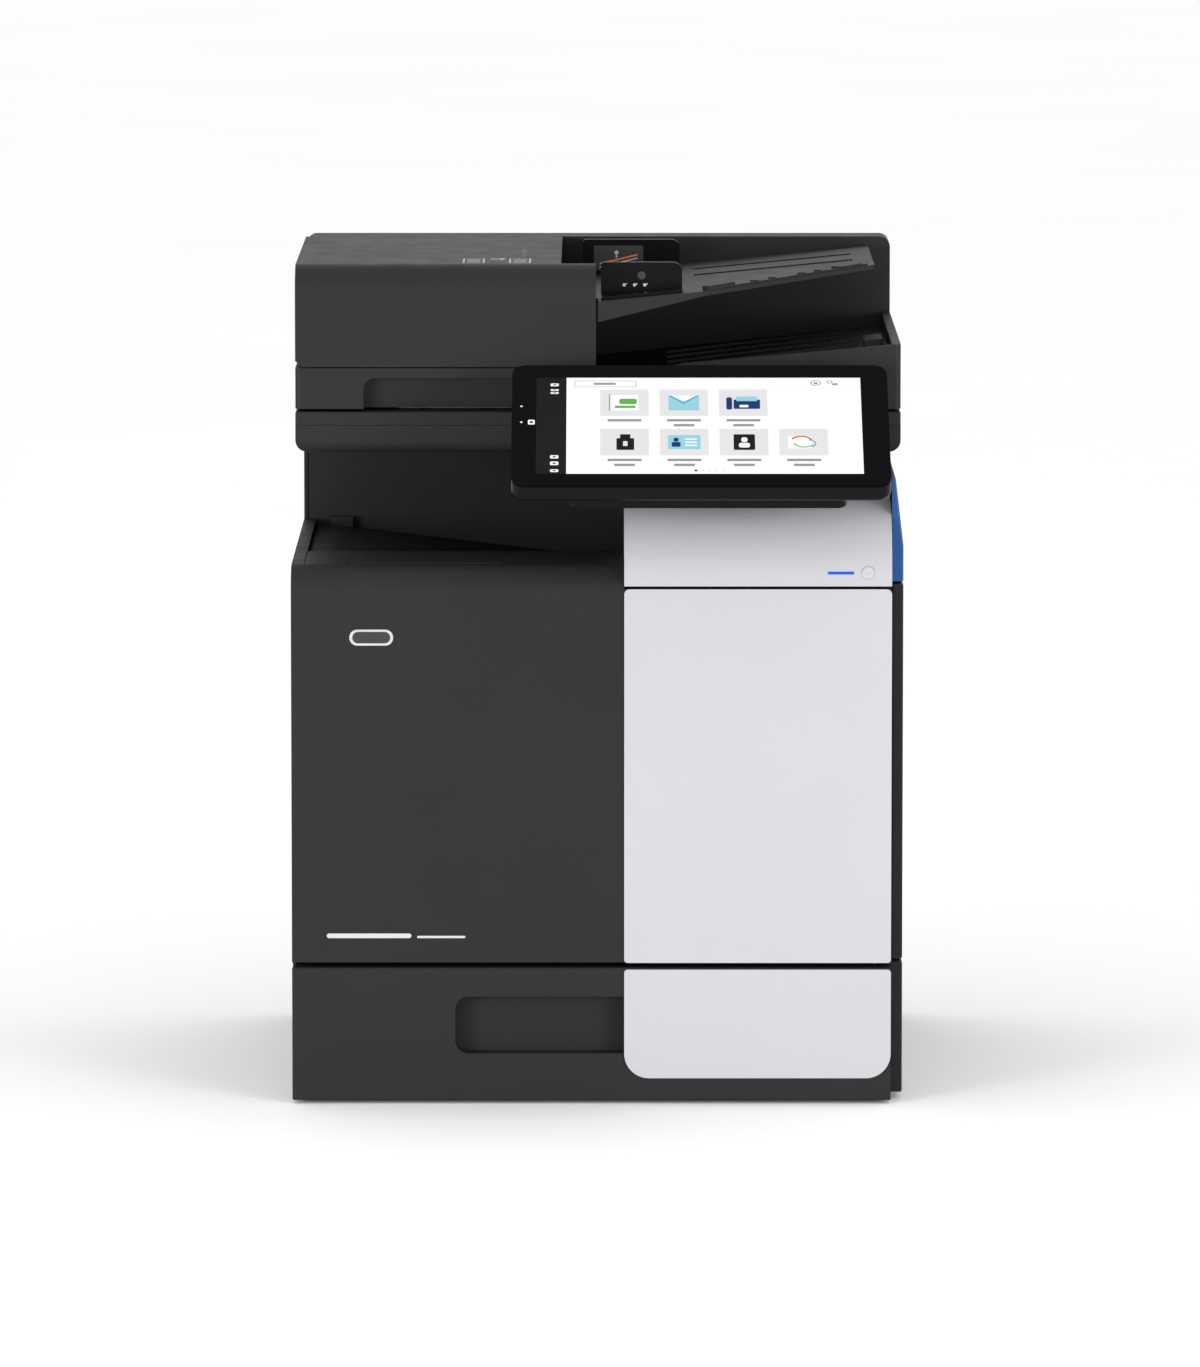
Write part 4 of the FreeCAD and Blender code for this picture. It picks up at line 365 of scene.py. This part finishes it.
def icons(page, columns, base):
    """Seven plain pictures, one on each tile."""
    first, second = (from_top(top) - TILE_TALL for top in ROW_TOPS)

    def at(column, low):
        """A function that lays bars on one tile, in millimetres from the tile's lowest corner."""
        def block(ink, u, v, wide, high, radius=0.0, lift=0):
            page.bar(ink, columns[column] + u * MM, low + v * MM, wide * MM, high * MM, radius * MM,
                     base + lift * LAYER)
        return block

    sheet = at(0, first)
    sheet("ink_white", 7, 7, 19, 20)
    sheet("ink_green", 10, 10, 14, 3, lift=1)
    sheet("ink_green", 13, 15, 12, 7, 2, lift=1)
    sheet("ink_line", 6, 6, 0.8, 22, lift=1)
    letter = at(1, first)
    letter("ink_pale_cyan", 6, 7, 21, 19, 0.8)
    middle, top = columns[1] + 16.5 * MM, first + 26 * MM
    for ink, half, deep, lift in (("ink_cyan", 10.5 * MM, 11 * MM, LAYER),
                                  ("ink_white", 8.5 * MM, 8 * MM, 2 * LAYER)):
        page.shape(ink, [(middle - half, top), (middle, top - deep), (middle + half, top)], base + lift)
    machine = at(2, first)
    machine("ink_navy", 10, 9, 18, 12, 1)
    machine("ink_navy", 5, 8, 4, 16, 1.8)
    machine("ink_pale_cyan", 12, 19, 14, 6, lift=1)
    machine("ink_white", 14, 11, 6, 3, lift=1)
    stick = at(0, second)
    stick("ink_dark", 11, 7, 12, 15, 1)
    stick("ink_dark", 13.5, 22, 7, 5)
    stick("ink_tile", 15.5, 12, 3, 6, lift=1)
    card = at(1, second)
    card("ink_pale_cyan", 5.5, 8, 22, 18, 1)
    card("ink_navy", 8, 11, 6, 6, 1, lift=1)
    card("ink_navy", 9.3, 17.5, 3.4, 5, 1.6, lift=1)
    for n in range(3):
        card("ink_white", 17, 12 + 4 * n, 8, 1.6, lift=1)
    face = at(2, second)
    face("ink_dark", 9.5, 7, 14.5, 20, 1.2)
    face("ink_white", 13, 10, 7.5, 6, 2, lift=1)
    face("ink_white", 14.7, 17, 4.2, 6, 2, lift=1)
    media = at(3, second)
    media("ink_white", 6, 9, 16, 15)
    for ink, u, v, outer, inner, start, sweep in (("ink_red", 15, 17, 8, 6.6, 20, 130),
                                                  ("ink_green", 17, 18, 8, 6.8, 200, 120),
                                                  ("ink_cyan", 20, 15, 5, 4, -60, 150)):
        page.ring(ink, columns[3] + u * MM, second + v * MM, outer * MM, inner * MM, base + LAYER, start,
                  sweep, 12)


# ------------------------------------------------------------------ printed marks, painted shade and small mouldings

# How far the document tray and the output ramp rise, the ramp's rim and the guides, as in the CAD.
TRAY_RISE, RAMP_RISE, RIM_HIGH, RIM_WIDE = 21 * MM, 22 * MM, 9 * MM, 6 * MM
GUIDE_THICK = 3 * MM
cover_low, cover_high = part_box("feed_cover")
base_low, base_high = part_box("feeder_base")
tray_low, tray_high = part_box("document_tray")


def door_marks():
    """A plain badge near the top of the front door, and two plain bars near its foot."""
    low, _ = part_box("front_door")
    marks = Print("door_marks", facing_front(low.x, low.y, low.z), "door", "white_plastic")
    marks.bar("print_silver", 40 * MM, 219 * MM, 30 * MM, 11 * MM, 5.4 * MM, thick=0.4 * MM)
    marks.bar("print_label", 42 * MM, 220.5 * MM, 26 * MM, 8 * MM, 3.9 * MM, base=0.4 * MM)
    marks.bar("print_grey", 24 * MM, 17 * MM, 58 * MM, 3.2 * MM, 1.5 * MM)
    marks.bar("print_grey", 86 * MM, 17 * MM, 33 * MM, 1.6 * MM, 0.7 * MM)
    marks.done()


def button_mark():
    """A ring with a gap and a short bar, on the power button."""
    low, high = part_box("power_button")
    middle = (low + high) / 2
    mark = Print("button_mark", facing_front(middle.x, low.y, middle.z), "button", "white_plastic")
    mark.ring("print_grey", 0, 0, 2.9 * MM, 2.4 * MM, start=120, sweep=300)
    mark.bar("print_grey", -0.25 * MM, 0.6 * MM, 0.5 * MM, 2.4 * MM)
    mark.done()


def feeder_marks():
    """Page pictures printed on the feeder's top, and a lever's slot drawn as a flat near-black bar of
    painted shade, all sunk until a fifth of a layer stands out.
    """
    top = facing_up(cover_high.x, cover_low.y, cover_high.z)
    marks = Print("feeder_marks", top, "feeder_cover", "charcoal_plastic")
    sunk = -0.8 * LAYER
    for left in (-92 * MM, -60 * MM):
        marks.outline("print_grey", left, 28 * MM, 15 * MM, 40 * MM, 1.2 * MM, sunk)
        for n in range(4):
            marks.bar("print_grey", left + 3 * MM, (34 + 8 * n) * MM, 9 * MM, 2.4 * MM, base=sunk)
    marks.bar("print_grey", -73 * MM, 62 * MM, 7 * MM, 5 * MM, base=sunk)
    marks.shape("print_grey", [(-66 * MM, 56 * MM), (-62 * MM, 64.5 * MM), (-66 * MM, 73 * MM)], sunk)
    # The lever's slot: painted shade, a flat near-black bar in place of the hollow.
    marks.bar("dark_print_and_painted_shade", -51.5 * MM, 84 * MM, 3 * MM, 92 * MM, 1.4 * MM, base=sunk)
    marks.done()


def guide_marks():
    """Three dots with short bars and a spot on the front guide; a label with two lines on the rear one."""
    low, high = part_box("document_guide_front")
    face = facing_front(low.x, high.y - GUIDE_THICK, low.z)
    front = Print("front_guide_marks", face, "sheet_guide_front", "black_gloss")
    for n in range(3):
        front.disc("print_grey", (16 + 7.1 * n) * MM, 9 * MM, 1.1 * MM, sides=12)
        front.bar("print_grey", (16.4 + 7.1 * n) * MM, 9.4 * MM, 1.6 * MM, 0.6 * MM)
    front.disc("print_label", 28 * MM, 15.5 * MM, 2.8 * MM)
    front.done()
    low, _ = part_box("document_guide_rear")
    rear = Print("rear_guide_marks", facing_front(low.x, low.y, low.z), "sheet_guide_rear", "black_gloss")
    rear.bar("print_label", 8 * MM, 4 * MM, 35 * MM, 17.5 * MM, 0.5 * MM)
    rear.disc("print_grey", 24 * MM, 16.5 * MM, 1.4 * MM, base=LAYER, sides=12)
    rear.bar("print_grey", 23.5 * MM, 13 * MM, 1 * MM, 3 * MM, base=LAYER)
    rear.strip("print_orange", [(12 * MM, 8 * MM), (39 * MM, 14.5 * MM)], 1.2 * MM, LAYER)
    rear.strip("print_grey", [(12 * MM, 5.8 * MM), (39 * MM, 12.3 * MM)], 0.7 * MM, LAYER)
    rear.done()


def tray_edge():
    """A lip with tabs and stops along the document tray's slanting edge, and two raised lines."""
    long = tray_high.x - tray_low.x
    slope = math.degrees(math.atan2(TRAY_RISE, long))
    run, back, from_end = 134 * MM, 105 * MM, 118.4 * MM
    plane = facing_up(tray_high.x - from_end, tray_low.y, tray_high.z - TRAY_RISE * from_end / long, slope)
    plane = plane @ Matrix.Rotation(math.atan2(back, run), 4, "Z")
    lip = Print("tray_lip", plane, "sheet_tray", "charcoal_plastic")
    lip.bar("charcoal_plastic", 2 * MM, 0.4 * MM, 144 * MM, 2 * MM, 0.8 * MM, thick=1.4 * MM)
    lip.bar("charcoal_plastic", 4 * MM, 0.6 * MM, 24 * MM, 9 * MM, 2 * MM, thick=3.4 * MM)
    for along in (46, 62, 88, 103):
        lip.bar("charcoal_plastic", along * MM, 1 * MM, 2.4 * MM, 7 * MM, 0.6 * MM, thick=2.2 * MM)
    lip.bar("charcoal_plastic", 122 * MM, 0.6 * MM, 20 * MM, 12 * MM, 1.5 * MM, thick=2.2 * MM)
    lip.done()
    surface = facing_up(tray_low.x, tray_low.y, tray_high.z - TRAY_RISE, slope)
    panel = Print("tray_lines", surface, "sheet_tray", "charcoal_plastic")
    for across in (150, 205):
        panel.bar("charcoal_plastic", 92 * MM, across * MM, 112 * MM, 1.4 * MM, 0.6 * MM, thick=0.8 * MM)
    panel.done()


def ramp_mouldings():
    """Curved ribs on the output ramp under the document tray, and a stop block at its right end."""
    slope = math.degrees(math.atan2(RAMP_RISE, base_high.x - cover_high.x))
    foot = base_high.z - RIM_HIGH - RAMP_RISE
    surface = facing_up(cover_high.x, base_low.y + RIM_WIDE, foot, slope)
    ramp_top = Print("ramp", surface, "feeder", "charcoal_plastic")
    steps = 10
    for n in range(6):
        first = (24 + 40 * n) * MM
        path = [((50 + 13.5 * k) * MM, first + 16 * MM * (1 - (k / steps - 1) ** 2))
                for k in range(steps + 1)]
        ramp_top.strip("charcoal_plastic", path, 2.4 * MM, thick=1.6 * MM)
    ramp_top.bar("charcoal_plastic", 188 * MM, 66 * MM, 13 * MM, 46 * MM, 2 * MM, thick=8 * MM)
    ramp_top.bar("dark_print_and_painted_shade", 190 * MM, 72 * MM, 9 * MM, 34 * MM, 1.5 * MM, base=8 * MM)
    ramp_top.done()


def screw_crosses():
    """A cross of painted shade on the head of each screw of the rear cover, standing for its cross recess.
    """
    low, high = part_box("rear_screws")
    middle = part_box("front_door")[0].z + 100 * MM
    head, arm, line = 3.5 * MM, 2 * MM, 0.35 * MM
    rear = Matrix(((-1, 0, 0, 0), (0, 0, 1, high.y), (0, 1, 0, 0), (0, 0, 0, 1)))
    crosses = Print("screw_crosses", rear, "machine", "bright_steel")
    for x in (low.x + head, high.x - head):
        for z in (low.z + head, middle, high.z - head):
            # Each cross is painted shade: flat near-black bars in place of the recess.
            crosses.bar("dark_print_and_painted_shade", -x - arm, z - line, 2 * arm, 2 * line)
            crosses.bar("dark_print_and_painted_shade", -x - line, z - arm, 2 * line, 2 * arm)
    crosses.done()


for add in (screen, bezel_marks, door_marks, button_mark, feeder_marks, guide_marks, tray_edge,
            ramp_mouldings, screw_crosses):
    add()

# ------------------------------------------------------------------ light, floor and camera


def studio():
    """A wide, nearly white floor."""
    floor_material, nodes, links, principled = shader("studio_floor")
    tone = noise(nodes, links, place(nodes, links), 1.5, 2)
    links.new(ramp(nodes, links, tone, 0.93, 0.95), principled.inputs["Base Color"])
    principled.inputs["Roughness"].default_value = 0.9
    mesh = bpy.data.meshes.new("studio_floor")
    half, front, back = 40, -20, 60
    corners = [(-half, front, 0), (half, front, 0), (half, back, 0), (-half, back, 0)]
    mesh.from_pydata(corners, [], [(0, 1, 2, 3)])
    mesh.materials.append(floor_material)
    floor = bpy.data.objects.new("studio_floor", mesh)
    bpy.context.scene.collection.objects.link(floor)


def lamp(name, at, power):
    """A rectangular lamp that points at the lamps' target."""
    data = bpy.data.lights.new(name, "AREA")
    data.shape = "RECTANGLE"
    data.size, data.size_y = LAMP_SIZE
    data.energy = power
    made = bpy.data.objects.new(name, data)
    made.location = at
    made.rotation_euler = (LAMP_TARGET - Vector(at)).to_track_quat("-Z", "Y").to_euler()
    bpy.context.scene.collection.objects.link(made)


LAMP_TARGET = Vector((0, 0, 0.35))
LAMP_SIZE = (1.6, 1.0)
CAMERA_AT = (0.0014, -7.157, 1.114)
CAMERA_DOWN = math.radians(6.705)

studio()
lamp("key", (-2.8, -3.4, 0.7), 115)
lamp("fill", (2.8, -3.4, 0.7), 100)

world = bpy.data.worlds.new("studio_world")
world.use_nodes = True
world.node_tree.nodes["Background"].inputs["Color"].default_value = (1, 1, 1, 1)
world.node_tree.nodes["Background"].inputs["Strength"].default_value = 1.04
bpy.context.scene.world = world
bpy.context.scene.view_settings.view_transform = "Standard"

camera_data = bpy.data.cameras.new("camera")
camera_data.sensor_fit = "VERTICAL"
camera_data.sensor_height = 36
camera_data.lens = 271.4
camera_data.clip_end = 200
camera = bpy.data.objects.new("camera", camera_data)
camera.location = CAMERA_AT
camera.rotation_euler = (math.radians(90) - CAMERA_DOWN, 0, 0)
bpy.context.scene.collection.objects.link(camera)
bpy.context.scene.camera = camera
